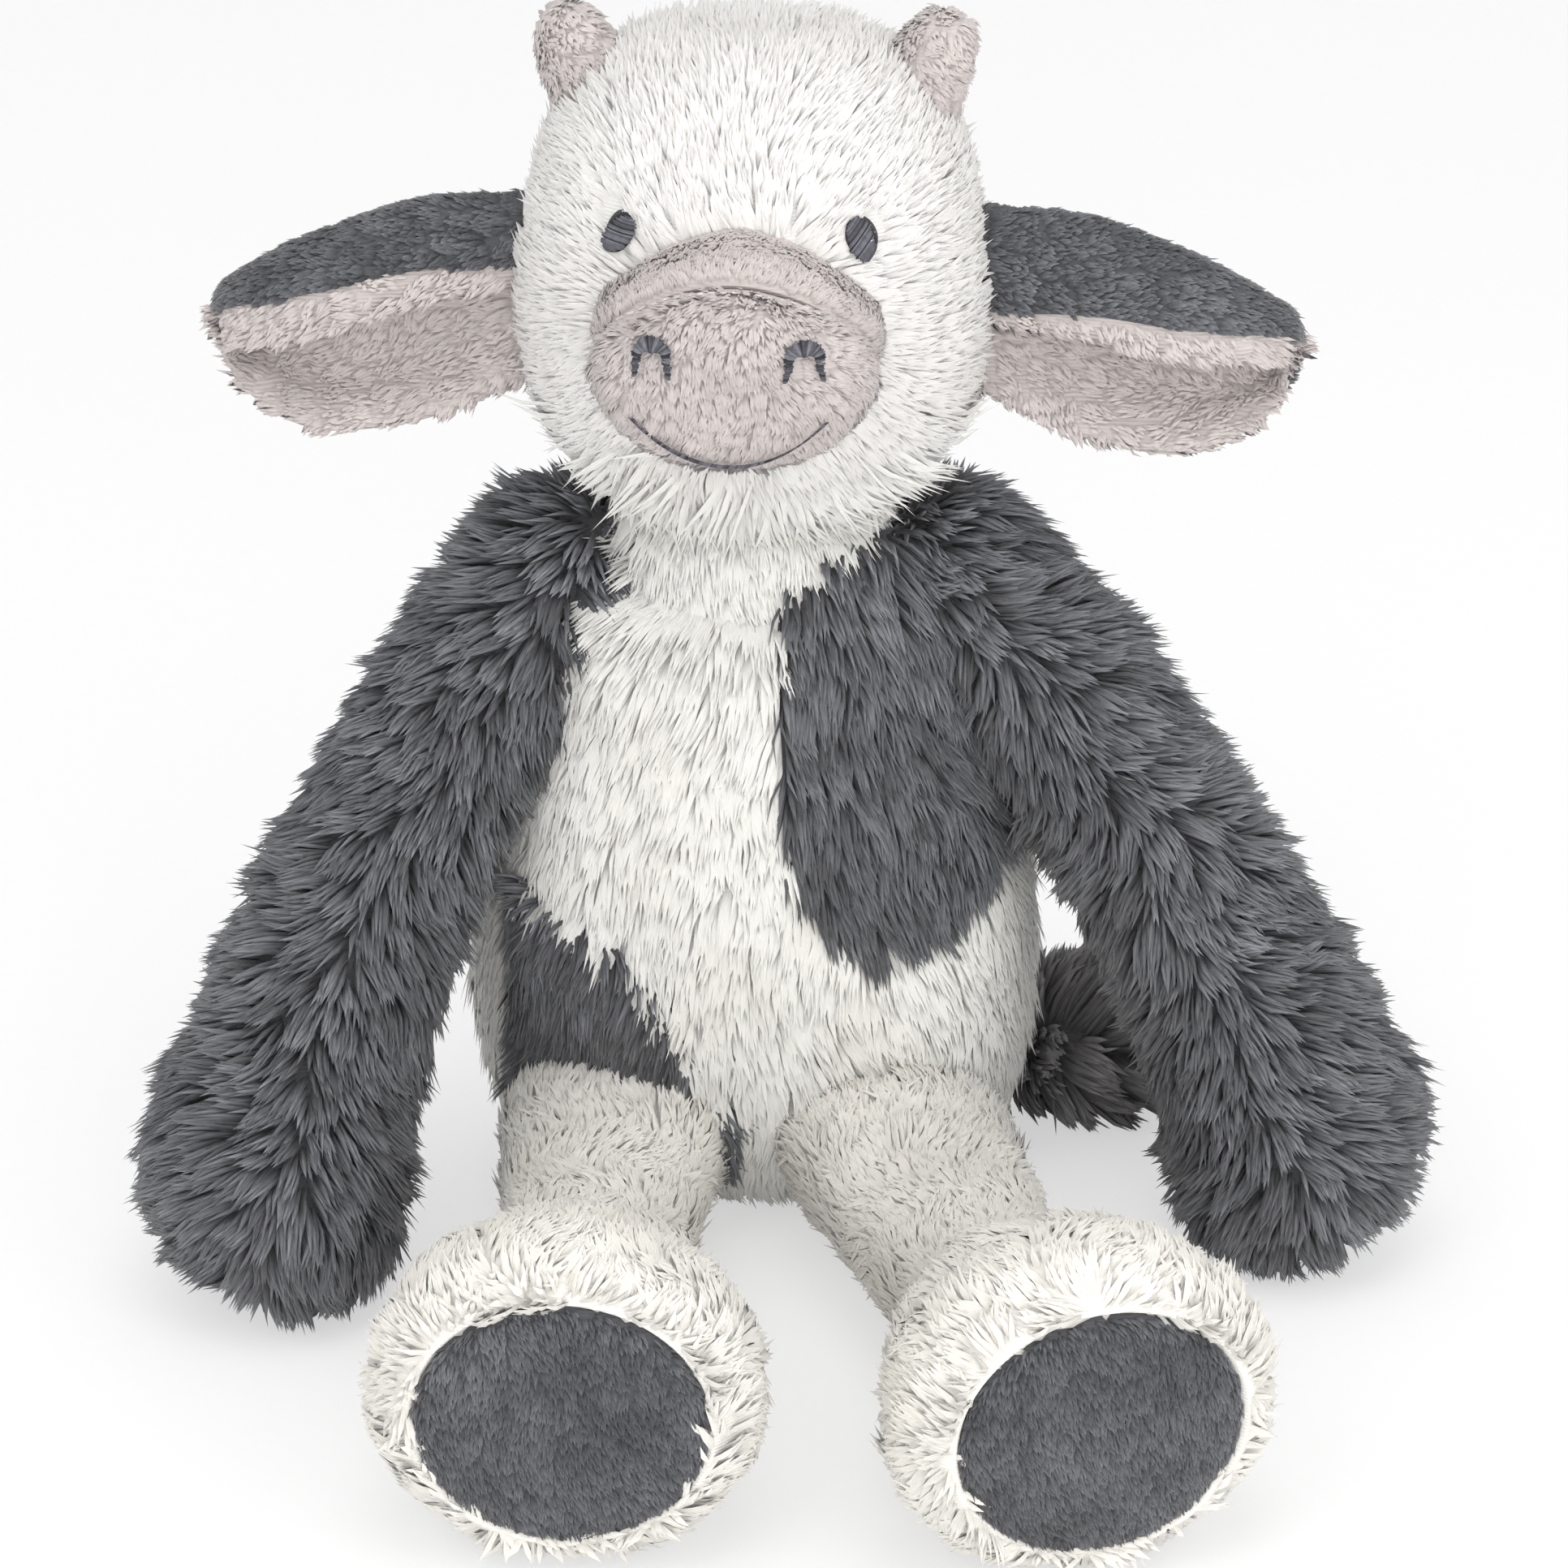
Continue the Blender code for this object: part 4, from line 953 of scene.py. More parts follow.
def pile(name, body, roots, key, comb, length, style, seed, lift=0.0, stages=2):
    """Fur as real tufts: each is a closed three-sided spike along a bent line, a quadratic curve from its
    root over a lifted middle to its tip. The lines follow the comb, wander by slow waves and chance, and
    lean towards the tip of their clump's middle one. One tuft in twelve strays: it is finer and longer and
    stands higher. A tuft's shading leans from its own round to the skin's by softness, as a bundle of fine
    hairs does. Each has its own tint and its own cell of the UV map."""
    width, rise, tip_rise, clump, wander, gather, softness = PILE_STYLES[style]
    points, normals = roots
    rng = np.random.default_rng(seed)
    count = len(points)
    way = comb(points, normals)
    way = unit(way - normals * (way * normals).sum(axis=1, keepdims=True) + 1e-9)
    chance = rng.normal(0.0, WANDER_CHANCE, count)
    swing = wander * (WANDER_WAVE_SHARE * waves(points, seed, WANDER_WAVE) + chance)[:, None]
    way = way * np.cos(swing) + np.cross(normals, way) * np.sin(swing)
    size = (length * rng.uniform(*LENGTH_RANGE, count))[:, None]
    low = np.clip((rise + lift) * rng.uniform(*RISE_RANGE, count), 0.0, 0.98)[:, None]
    stray = rng.random(count) < STRAY_SHARE
    high = (tip_rise + lift) * rng.uniform(*TIP_RISE_RANGE, count) + STRAY_HIGHER * stray
    high = np.clip(high, -0.2, 0.95)[:, None]
    size = size * (1 + STRAY_LONGER * stray)[:, None]
    middle = points + 0.5 * size * (normals * low + way * np.sqrt(1 - low**2))
    tip = points + size * (normals * high + way * np.sqrt(1 - high**2))
    own = rng.random(count)
    centre = rng.choice(count, max(1, count // gather), replace=False)
    of_clump = centre[nearest(points, points[centre])]
    pull = clump * rng.uniform(*PULL_RANGE, count)[:, None]
    tip = tip + (tip[of_clump] - tip) * pull
    middle = middle + (middle[of_clump] - middle) * pull * 0.5
    own = 0.5 * own + 0.5 * own[of_clump]
    root = points - normals * TUFT_ROOT_DEPTH
    half = (0.5 * width * rng.uniform(*WIDTH_RANGE, count) * (1 - STRAY_FINER * stray))[:, None]
    rows, facing = [], []
    for t, r in TUFT_RINGS[stages]:
        spot = (1 - t) ** 2 * root + 2 * t * (1 - t) * middle + t * t * tip
        run = unit((1 - t) * (middle - root) + t * (tip - middle))
        side = unit(np.cross(normals, run))
        up = np.cross(run, side)
        for turn in np.radians(TUFT_TURNS):
            across = side * math.cos(turn) + up * TUFT_FLATNESS * math.sin(turn)
            rows.append(spot + half * r * across)
            facing.append(unit(across) * (1 - softness) + normals * softness)
    rows.append(tip)
    facing.append(run * (1 - softness) + normals * softness)
    cloud = np.stack(rows, axis=1)
    each = cloud.shape[1]
    cloud[..., 2] = soft_floor(cloud[..., 2])
    loops, sizes, sheet = tuft_pattern(stages)
    loops = (loops[None] + each * np.arange(count)[:, None]).ravel()
    columns = int(math.ceil(math.sqrt(TUFT_CELL_SHAPE * count)))
    lines = int(math.ceil(count / columns))
    cell = np.stack([np.arange(count) % columns, np.arange(count) // columns], axis=1)[:, None, :]
    uv = (cell + TUFT_CELL_MARGIN + (1 - 2 * TUFT_CELL_MARGIN) * sheet[None]) / np.array((columns, lines))
    strand = np.empty((count, each, 3))
    strand[..., 0] = np.r_[np.tile((0.0, 0.33, 0.66), stages), 0.5]
    strand[..., 1] = np.r_[np.repeat([t for t, r in TUFT_RINGS[stages]], 3), 1.0]
    strand[..., 2] = own[:, None]
    shading = unit(np.stack(facing, axis=1)).reshape(-1, 3)
    corners = (loops, np.tile(sizes, count), finish(key), uv.reshape(-1, 2), strand.reshape(-1, 3), shading)
    return settle(put(name, cloud.reshape(-1, 3), *corners), body, key)


def tuft_pattern(stages):
    """One tuft's faces: its corners' point numbers, its faces' sizes, and each corner's place on its cell."""
    loops, sizes, sheet = [], [], []
    top, strip = 3 * stages, 0.3
    tall = stages + strip
    for i in range(3):
        j = (i + 1) % 3
        for s in range(stages - 1):
            loops += [3 * s + i, 3 * s + j, 3 * s + 3 + j, 3 * s + 3 + i]
            low, high = (s + strip) / tall, (s + 1 + strip) / tall
            sheet += [(i / 3, low), ((i + 1) / 3, low), ((i + 1) / 3, high), (i / 3, high)]
            sizes.append(4)
        loops += [top - 3 + i, top - 3 + j, top]
        low = (stages - 1 + strip) / tall
        sheet += [(i / 3, low), ((i + 1) / 3, low), ((i + 0.5) / 3, 1.0)]
        sizes.append(3)
    loops += [0, 2, 1]
    sheet += [(0.0, 0.0), (0.5, 0.02), (1.0, 0.0)]
    sizes.append(3)
    return np.array(loops), np.array(sizes), np.array(sheet)


def stitches(starts, ends, surface, radius, height):
    """Threads as closed tubes: each runs from its start to its end over the surface, raised most in its
    middle, and narrows to a point at both ends. Starts and ends are (across, up) in the head's frame, and
    surface gives how far forward the ground stands there. Returns the shell, in the head's frame, and its
    strand values."""
    count, around, rows = len(starts), THREAD_SIDES, THREAD_ROWS
    t = (0.5 - 0.5 * np.cos(np.linspace(0, np.pi, rows + 2)))[1:-1]
    flat = starts[:, None] + (ends - starts)[:, None] * t[None, :, None]
    lift = height * np.sin(np.pi * t) ** 0.5
    forward = surface(flat[..., 0].ravel(), flat[..., 1].ravel()).reshape(count, rows)
    middle = np.stack([flat[..., 0], -(forward + lift), flat[..., 1]], axis=-1)
    run = unit(np.gradient(middle, axis=1))
    side = unit(np.cross(np.array((0.0, -1.0, 0.0)), run))
    up = np.cross(run, side)
    girth = (radius * np.sqrt(np.maximum(1 - (2 * t - 1) ** 6, 0.05)))[None, :, None, None]
    turn = np.linspace(0, 2 * np.pi, around, endpoint=False)
    ring = side[:, :, None] * np.cos(turn)[:, None] + up[:, :, None] * np.sin(turn)[:, None]
    tube_points = (middle[:, :, None] + girth * ring).reshape(count, -1, 3)
    cloud = np.concatenate([middle[:, :1], tube_points, middle[:, -1:]], axis=1)
    quads, fans = round_faces(rows, around)
    offsets = (np.arange(count) * cloud.shape[1])[:, None, None]
    one = outward(cloud[0], quads, fans)
    quads = (one[1][None] + offsets).reshape(-1, 4)
    fans = (one[2][None] + offsets).reshape(-1, 3)
    strand = np.zeros((count, cloud.shape[1], 3))
    strand[..., 1] = np.r_[0.0, np.repeat(t, around), 1.0]
    strand[..., 2] = np.random.default_rng(count).random(count)[:, None]
    return (cloud.reshape(-1, 3), quads, fans), strand.reshape(-1, 3)


# Finishes


def tree_of(name):
    """A new material with an empty node tree."""
    look = bpy.data.materials.new(name)
    look.use_nodes = True
    look.node_tree.nodes.clear()
    return look, look.node_tree


def node(tree, kind, inputs=(), **settings):
    """A new node: inputs that are sockets are linked, and the others are set as values."""
    made = tree.nodes.new(kind)
    for key, value in settings.items():
        setattr(made, key, value)
    for key, value in dict(inputs).items():
        if isinstance(value, bpy.types.NodeSocket):
            tree.links.new(value, made.inputs[key])
        else:
            made.inputs[key].default_value = value
    return made


def shade(colour, factor):
    """A colour times a factor, held at 1, with full cover."""
    return (*(min(1.0, c * factor) for c in colour), 1.0)


def ramp(tree, value, stops):
    """Colours at shares of a value, mixed smoothly between them."""
    made = node(tree, "ShaderNodeValToRGB", {"Fac": value})
    made.color_ramp.interpolation = "EASE"
    while len(made.color_ramp.elements) < len(stops):
        made.color_ramp.elements.new(0.5)
    for element, (place, colour) in zip(made.color_ramp.elements, stops):
        element.position = place
        element.color = colour
    return made.outputs["Color"]


def ranged(tree, value, span, low, high):
    """The value moved in a straight line from its span to low and high, and held there."""
    inputs = {"Value": value, "From Min": span[0], "From Max": span[1], "To Min": low, "To Max": high}
    return node(tree, "ShaderNodeMapRange", inputs).outputs["Result"]


def swayed(tree, value, span, amount):
    """A factor round 1: less by the amount at the low end of the span, more by half of it at the high end."""
    return ranged(tree, value, span, 1.0 - amount, 1.0 + amount * 0.5)


def times(tree, a, b):
    """The product of two values."""
    return node(tree, "ShaderNodeMath", {0: a, 1: b}, operation="MULTIPLY").outputs["Value"]


def noise(tree, vector, scale, detail=2.0, roughness=0.5):
    """Soft random values over a place."""
    inputs = {"Vector": vector, "Scale": scale, "Detail": detail, "Roughness": roughness}
    return node(tree, "ShaderNodeTexNoise", inputs).outputs["Fac"]


def ribbed(tree, vector, scale, distortion, detail, direction):
    """Fine ribs: waves over a place in one direction."""
    inputs = {"Vector": vector, "Scale": scale, "Distortion": distortion, "Detail": detail}
    return node(tree, "ShaderNodeTexWave", inputs, bands_direction=direction).outputs["Fac"]


def place_of(tree):
    """A place in the piece's own frame, which stays on it when it moves."""
    return node(tree, "ShaderNodeTexCoord").outputs["Object"]


def strand_of(tree):
    """What each tuft and thread holds: its way round, its way along and its own tint."""
    return node(tree, "ShaderNodeAttribute", attribute_name="strand").outputs["Vector"]


def dyed(tree, colour, value, saturation=1.0):
    """A colour with its brightness and saturation varied."""
    inputs = {"Saturation": saturation, "Value": value, "Color": colour}
    return node(tree, "ShaderNodeHueSaturation", inputs).outputs["Color"]


def bumped(tree, height, strength, distance):
    """A shading direction tilted by the slope of a height."""
    inputs = {"Strength": strength, "Distance": distance, "Height": height}
    return node(tree, "ShaderNodeBump", inputs).outputs["Normal"]


def shader(tree, inputs):
    """The surface itself, linked to the material's output."""
    made = node(tree, "ShaderNodeBsdfPrincipled", inputs)
    node(tree, "ShaderNodeOutputMaterial", {"Surface": made.outputs["BSDF"]})


def fur(name, colour, depth, tip_highlight, tint, streak, sheen, rough, patchy, warmth):
    """Fur of one colour. Along each tuft it goes from painted shade at the root to a painted highlight near
    the tip; fine streaks run along the tuft, each tuft has its own tint, and slow patches vary over the toy."""
    look, tree = tree_of(f"plush_{name}")
    strand = strand_of(tree)
    parts = node(tree, "ShaderNodeSeparateXYZ", {"Vector": strand}).outputs
    # Painted shade darkens each tuft's root by depth, and a painted highlight lightens its tip.
    shades = ((0.0, depth), (0.32, (1 + depth) / 2), (0.58, 1.0), (0.92, tip_highlight))
    along = ramp(tree, parts["Y"], [(place, shade(colour, factor)) for place, factor in shades])
    fine_grain = {0: strand, 1: (9.0, 1.6, 37.0)}
    stretched = node(tree, "ShaderNodeVectorMath", fine_grain, operation="MULTIPLY").outputs["Vector"]
    lines = noise(tree, stretched, 1.0, 3.0, 0.6)
    slow = noise(tree, place_of(tree), 38.0)
    own = swayed(tree, parts["Z"], (0.0, 1.0), tint)
    fine = swayed(tree, lines, NOISE_SPAN, streak)
    broad = swayed(tree, slow, NOISE_SPAN, patchy)
    value = times(tree, times(tree, own, fine), broad)
    warm = ranged(tree, slow, NOISE_SPAN, 1.0 + warmth, 1.0)
    shader(tree, {
        "Base Color": dyed(tree, along, value, warm),
        "Normal": bumped(tree, lines, 0.5, 0.0003),
        "Roughness": ranged(tree, lines, NOISE_SPAN, rough - 0.08, rough + 0.08),
        "Sheen Weight": sheen, "Sheen Roughness": 0.45, "Specular IOR Level": 0.3,
    })
    return look


def backing(name, tone):
    """The knitted cloth that carries the pile, in a tone darkened as painted shade between the tufts: fine
    crossed ribs with slow uneven colour.
    """
    look, tree = tree_of(f"plush_{name}")
    place = place_of(tree)
    ribs = ribbed(tree, place, 420.0, 1.2, 1.0, "Z")
    slow = noise(tree, place, 60.0, 3.0)
    mix = times(tree, ranged(tree, ribs, (0.0, 1.0), 0.93, 1.0), ranged(tree, slow, NOISE_SPAN, 0.90, 1.0))
    shader(tree, {
        "Base Color": dyed(tree, tone, mix),
        "Normal": bumped(tree, ribs, 0.4, 0.0003),
        "Roughness": ranged(tree, slow, NOISE_SPAN, 0.82, 0.95),
        "Sheen Weight": 0.2,
    })
    return look


def thread_look(name, tone, low, high):
    """Embroidery thread: a soft lustre with fine twisted plies and slight fading from stitch to stitch."""
    look, tree = tree_of(f"plush_{name}")
    place = place_of(tree)
    plies = ribbed(tree, place, 1400.0, 2.0, 2.0, "DIAGONAL")
    faded = noise(tree, place, 900.0)
    own = node(tree, "ShaderNodeSeparateXYZ", {"Vector": strand_of(tree)}).outputs["Z"]
    each = ranged(tree, own, (0.0, 1.0), low, high)
    twist = ranged(tree, plies, (0.0, 1.0), 0.8, 1.1)
    mix = times(tree, each, times(tree, twist, ranged(tree, faded, NOISE_SPAN, 0.8, 1.25)))
    shader(tree, {
        "Base Color": dyed(tree, tone, mix),
        "Normal": bumped(tree, plies, 0.5, 0.0001),
        "Roughness": ranged(tree, faded, NOISE_SPAN, 0.55, 0.7),
        "Specular IOR Level": 0.25,
    })
    return look


def finish(key):
    """Each finish is made once, from its table and the colours in the sidebar."""
    held = bpy.data.materials.get(f"plush_{key}")
    if held is not None:
        return held
    dye = bpy.context.scene.cow_colours
    if key in FURS:
        colour, *traits = FURS[key]
        return fur(key, getattr(dye, colour), *traits)
    if key in CLOTHS:
        colour, factor = CLOTHS[key]
        # The factor darkens the backing as painted shade between the tufts.
        return backing(key, shade(getattr(dye, colour), factor))
    colour, factor, low, high = THREADS[key]
    return thread_look(key, shade(getattr(dye, colour), factor), low, high)


def settle(piece, body, key, *nodes, fill=None):
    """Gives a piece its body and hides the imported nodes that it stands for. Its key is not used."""
    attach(piece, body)
    if nodes:
        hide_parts(*nodes)
    return piece


def sew(name, body, shell, key, *nodes, fill=None, strand=None):
    """One piece of cloth or stitching, in its finish and on its body."""
    return settle(put_shell(name, shell, finish(key), strand), body, key, *nodes, fill=fill)


def seed_for(part, step=0):
    """The part's own random seed, from the seed in the sidebar."""
    return bpy.context.scene.cow_pile.seed + SEEDS[part] + step


# Combing


def comb_body(points, normals):
    """Down, fanning out to each side by a share of how far across a point lies."""
    way = np.tile(BODY_COMB, (len(points), 1))
    way[:, 0] = points[:, 0] / BODY_HALF_WIDTH * BODY_FAN
    return way


def comb_head(points, normals):
    """Away from the middle of the muzzle on the face, down the back of the head, and down and outwards under
    the cheeks. The three are mixed by S curves over how far back and how low a point lies."""
    matrix = frame_of("head")
    local = taken_back(points, matrix)
    away = unit(local - np.array((0.0, FACE_MIDDLE, MUZZLE_HEIGHT)))
    back = fade(local[:, 1], *HEAD_BACK_BAND)[:, None]
    under = fade(CHIN_TOP - local[:, 2], 0.0, CHIN_FADE)[:, None]
    way = away * (1 - back) + np.array((0.0, 0.0, -1.0)) * back + np.array(CHIN_COMB) * under
    way[:, 0] += local[:, 0] / HEAD_HALF_WIDTH * CHIN_FAN * under[:, 0]
    return directed(way, matrix)


def comb_arm(side):
    """Down the arm and away to both sides from a ridge along its front: the sideways share is the sine of the
    angle from the ridge, and it fades out at the back."""
    matrix = frame_of("arm", side)

    def comb(points, normals):
        local_normals = taken_back(normals + matrix[:3, 3], matrix)
        from_ridge = np.arctan2(local_normals[:, 0], -local_normals[:, 1])
        parting = np.sin(np.clip(from_ridge * ARM_PARTING, -np.pi / 2, np.pi / 2))
        parting = parting * fade(np.pi - np.abs(from_ridge), *ARM_PARTING_BAND)
        way = np.zeros_like(points)
        way[:, 0] = np.cos(from_ridge) * parting * ARM_FAN
        way[:, 1] = np.sin(from_ridge) * parting * ARM_FAN
        way[:, 2] = -1.0
        return directed(way, matrix)

    return comb


def comb_leg(side):
    """Back towards the body on the thigh, every way along the shin by slow waves, and outwards over the rim
    of the foot. The three are mixed by S curves along the leg."""
    matrix = frame_of("leg", side)

    def comb(points, normals):
        local = taken_back(points, matrix)
        share = -local[:, 2] / LEG_LENGTH
        foot = fade(share, *FOOT_COMB_BAND)
        thigh = 1 - fade(share, *THIGH_COMB_BAND)
        swirl = [(0.5 + 0.5 * foot) * waves(points, seed, size) for seed, size in LEG_SWIRLS]
        way = np.zeros_like(points)
        way[:, 2] = thigh * 1.0 + SHIN_COMB * (1 - foot) + foot * FOOT_COMB
        way[:, 0] = local[:, 0] / FOOT_HALF_WIDTH * foot * FOOT_FAN + swirl[0]
        upward = (local[:, 1] + FOOT_RISE) / FOOT_HALF_HEIGHT * foot * FOOT_FAN
        way[:, 1] = upward - THIGH_COMB_DROP * thigh + swirl[1]
        return directed(way, matrix)

    return comb


def comb_muzzle(rise):
    """Away from the muzzle's middle line to both sides, and up or down by the rise."""
    matrix = frame_of("head")

    def comb(points, normals):
        way = np.tile((0.0, MUZZLE_COMB_FORWARD, rise), (len(points), 1))
        way[:, 0] = taken_back(points, matrix)[:, 0] / MUZZLE_HALF_WIDTH * MUZZLE_FAN
        return directed(way, matrix)

    return comb


def comb_from(matrix, way):
    """The same way all over, given in a form's own frame."""
    return lambda points, normals: directed(np.tile(np.array(way, float), (len(points), 1)), matrix)


# Pieces


def make_body():
    """The body's cover with the neck's ball, its fur in three parts, and the two patches."""
    pile_of = bpy.context.scene.cow_pile
    rings, matrix = form("body")
    neck = form("neck")
    outer = stuffed(rings, matrix, *MESH_STEPS["body"])
    shoulder = fade(outer[0][:, 2], *SHOULDER_BAND)
    cover = drawn_in(outer, pile_of.long_cloth * (BODY_CLOTH_SHARE + SHOULDER_CLOTH_SHARE * shoulder))
    cover = joined([cover, drawn_in(stuffed(*neck, *MESH_STEPS["neck"]), NECK_CLOTH_DEPTH)])
    limbs = [form(kind, side) for kind in ("arm", "leg") for _, side in SIDES] + [form("head")]

    def shown(points, normals):
        """None inside a limb, the head or the neck, fewer beneath and behind, and more at the neckline."""
        covered = np.max([depth_in(points, *limb) for limb in limbs], axis=0) < HIDDEN_IN_LIMB
        inner = depth_in(points, *neck) > HIDDEN_IN_NECK
        inner |= depth_in(points, rings, matrix) > HIDDEN_IN_BODY
        underside = 1.0 - UNDERSIDE_THINNED * (normals[:, 2] < UNDERSIDE_SLOPE)
        back = 1.0 - BACK_THINNED * fade(points[:, 1], *BACK_BAND)
        return covered * ~inner * underside * back * (1.0 + fade(points[:, 2], *NECKLINE_BAND))

    sew("body_cover", "body", cover, "white_cloth", "body_skin", "body_stuffing", fill=0.8)
    points, normals = scattered(cover, TUFTS["body"], seed_for("body"), shown)
    x, y, z = points.T
    chest = smooth_outline(CHEST_OUTLINE_SHARES, CHEST_HALF, np.array(CHEST_MIDDLE) + (0.0, CHEST_HANG))
    hip = smooth_outline(HIP_OUTLINE_SHARES, HIP_HALF, np.array(HIP_MIDDLE) + (0.0, HIP_HANG))
    hip[:, 0] = np.maximum(hip[:, 0], -HIP_SIDE)
    in_chest = within(x, z, chest) & (y < CHEST_FRONT_LINE) & (z < CHEST_TOP)
    in_hip = within(x, z, hip) & (y < HIP_FRONT_LINE)
    collar = COLLAR_HALF_WIDTH + np.maximum(BODY_HEIGHT - COLLAR_DROP - z, COLLAR_NARROWING) * YOKE_SLOPE
    notch = NOTCH_HALF_WIDTH + np.maximum(z - BODY_HEIGHT, 0.0) * NOTCH_FLARE
    notch = notch + np.maximum(NOTCH_HEIGHT - z, 0.0) * YOKE_SLOPE
    yoke = (np.abs(x) > np.where((x < 0) | (y > 0), collar, notch)) & (z > YOKE_BOTTOM)
    white = ~in_chest & ~in_hip & ~yoke
    near_neck = 1 - NECKLINE_SHORTER + NECKLINE_SHORTER * fade(BODY_HEIGHT - z, 0.0, NECKLINE_DEPTH)
    length = pile_of.body_length * near_neck
    for word, part, key, style in (
        ("front", white & (y < BODY_FRONT_LINE), "belly_fur", "body"),
        ("back", white & (y >= BODY_FRONT_LINE), "belly_fur", "body"),
        ("yoke", yoke & ~in_chest, "charcoal_fur", "yoke"),
    ):
        roots = points[part], normals[part]
        pile(f"body_pile_{word}", "body", roots, key, comb_body, length[part], style, seed_for("body"))
    for word, outline in (("chest", chest), ("hip", hip)):
        patch = patch_shell(outline, rings)
        sew(f"{word}_patch_cloth", "body", patch, "charcoal_cloth", f"{word}_patch")
        roots = scattered(patch, TUFTS[word], seed_for("patch"), lambda p, n: (n[:, 1] < PATCH_FACING) * 1.0)
        length, seed = pile_of.body_length * PATCH_LONGER, seed_for("patch", 1)
        pile(f"{word}_patch_pile", "body", roots, "charcoal_fur", comb_body, length, "patch", seed)


def patch_shell(outline, rings, rows=26):
    """A patch laid on the body's front: rings that shrink from its outline to its middle, put on the front of
    the body's ellipses, with the same again behind as its wrong side."""
    shares = np.linspace(0, 1, rows + 1)[1:]
    flat = shrinking(outline, shares, shares[::-1][1:])
    tucked = np.r_[0.0, np.repeat(np.r_[np.zeros(rows), np.ones(rows - 1)], len(outline)), 1.0]
    forward = front_of(rings, flat[:, 1], flat[:, 0])
    inset = bpy.context.scene.cow_pile.long_cloth * PATCH_SINK + tucked * PATCH_THICKNESS
    across = flat[:, 0] * (1 - inset / BODY_HALF_WIDTH)
    points = np.stack([across, -(forward - inset), flat[:, 1]], axis=1)
    return outward(points, *round_faces(2 * rows - 1, len(outline)))


def shrinking(outline, *runs):
    """An outline drawn again at each share of the way from its middle, with the middle first and last."""
    middle = outline.mean(axis=0)
    rings = [middle + (outline - middle) * s for run in runs for s in run]
    return np.vstack([[middle], *rings, [middle]])


def make_head():
    """The head's cover, its fur and the fringe over the neck seam."""
    pile_of = bpy.context.scene.cow_pile
    rings, matrix = form("head")
    muzzle = form("muzzle")
    cover = drawn_in(stuffed(rings, matrix, *MESH_STEPS["head"]), pile_of.long_cloth)
    sew("head_cover", "head", cover, "white_cloth", "head_skin", "head_stuffing", fill=0.8)

    def shown(points, normals):
        """None inside the muzzle, and fewer behind."""
        behind = fade(taken_back(points, matrix)[:, 1], *HEAD_BEHIND_BAND)
        return (depth_in(points, *muzzle) < HIDDEN_IN_MUZZLE) * (1.0 - HEAD_BEHIND_THINNED * behind)

    points, normals = scattered(cover, TUFTS["head"], seed_for("head"), shown)
    x, y, z = taken_back(points, matrix).T
    up = (z - EYE_HEIGHT) / EYE_HALF_HEIGHT
    eyes = [np.hypot((x - side * EYE_SPREAD) / EYE_HALF_WIDTH, up) for _, side in SIDES]
    near_eye = np.where(y < 0, np.min(eyes, axis=0), FAR_OFF)
    clear = near_eye > 1.0
    z, near_eye = z[clear], near_eye[clear]
    low = fade(CHEEK_TOP - z, 0.0, CHEEK_FADE)
    crown = fade(z, *CROWN_BAND)
    rim = EYE_RIM_SHARE + (1 - EYE_RIM_SHARE) * fade(near_eye, *EYE_RIM_BAND)
    length = pile_of.head_length * (1 + CHEEK_LONGER * low - CROWN_SHORTER * crown) * rim
    roots = points[clear], normals[clear]
    lift = CROWN_LIFT * crown
    pile("head_pile", "head", roots, "white_fur", comb_head, length, "head", seed_for("head", 1), lift=lift)
    low_band = scattered(
        cover, TUFTS["fringe"], seed_for("head", 2), lambda p, n: fringe_share(taken_back(p, matrix))
    )
    front = fade(-taken_back(low_band[0], matrix)[:, 1], *FRINGE_FRONT_BAND)
    length = FRINGE_LENGTH + FRINGE_FRONT_LONGER * front
    pile("chin_fringe", "head", low_band, "belly_fur", comb_head, length, "fringe", seed_for("head", 3))


def fringe_share(local):
    """Where the fringe over the neck seam grows: a bell curve over height, low on the head, less behind."""
    band = np.exp(-(((local[:, 2] - FRINGE_HEIGHT) / FRINGE_SPREAD) ** 2))
    return band * (1 - FRINGE_BACK_THINNED * fade(local[:, 1], *FRINGE_BACK_BAND))


def seam_distance(points):
    """How far each point lies above and behind the muzzle's seam, a sloped sheet that falls to both sides."""
    local = taken_back(points, frame_of("head"))
    return (local - np.array(SEAM_POINT)) @ SEAM_WAY + SEAM_ARCH * local[:, 0] ** 2


def muzzle_side(shell, facing):
    """One side of the muzzle: its skin is drawn in towards the seam, and all past the seam is laid on it.
    Facing is 1 above the seam and -1 below it."""
    points, quads, fans = shell
    head_frame = frame_of("head")
    local = taken_back(points, head_frame)
    local[:, 0] *= 1 - BRIDGE_TAPER * fade(local[:, 2], *BRIDGE_TAPER_BAND)
    points = placed(local, head_frame)
    off = seam_distance(points) * facing
    pinch = SEAM_DEPTH * np.exp(-((np.maximum(off, 0.0) / SEAM_SPREAD) ** 2))
    points = points - normals_of(points, quads, fans) * pinch[:, None]
    way = directed(SEAM_WAY[None], head_frame) * facing
    off = seam_distance(points) * facing
    return points + way * np.maximum(SEAM_OVERLAP - off, 0.0)[:, None], quads, fans


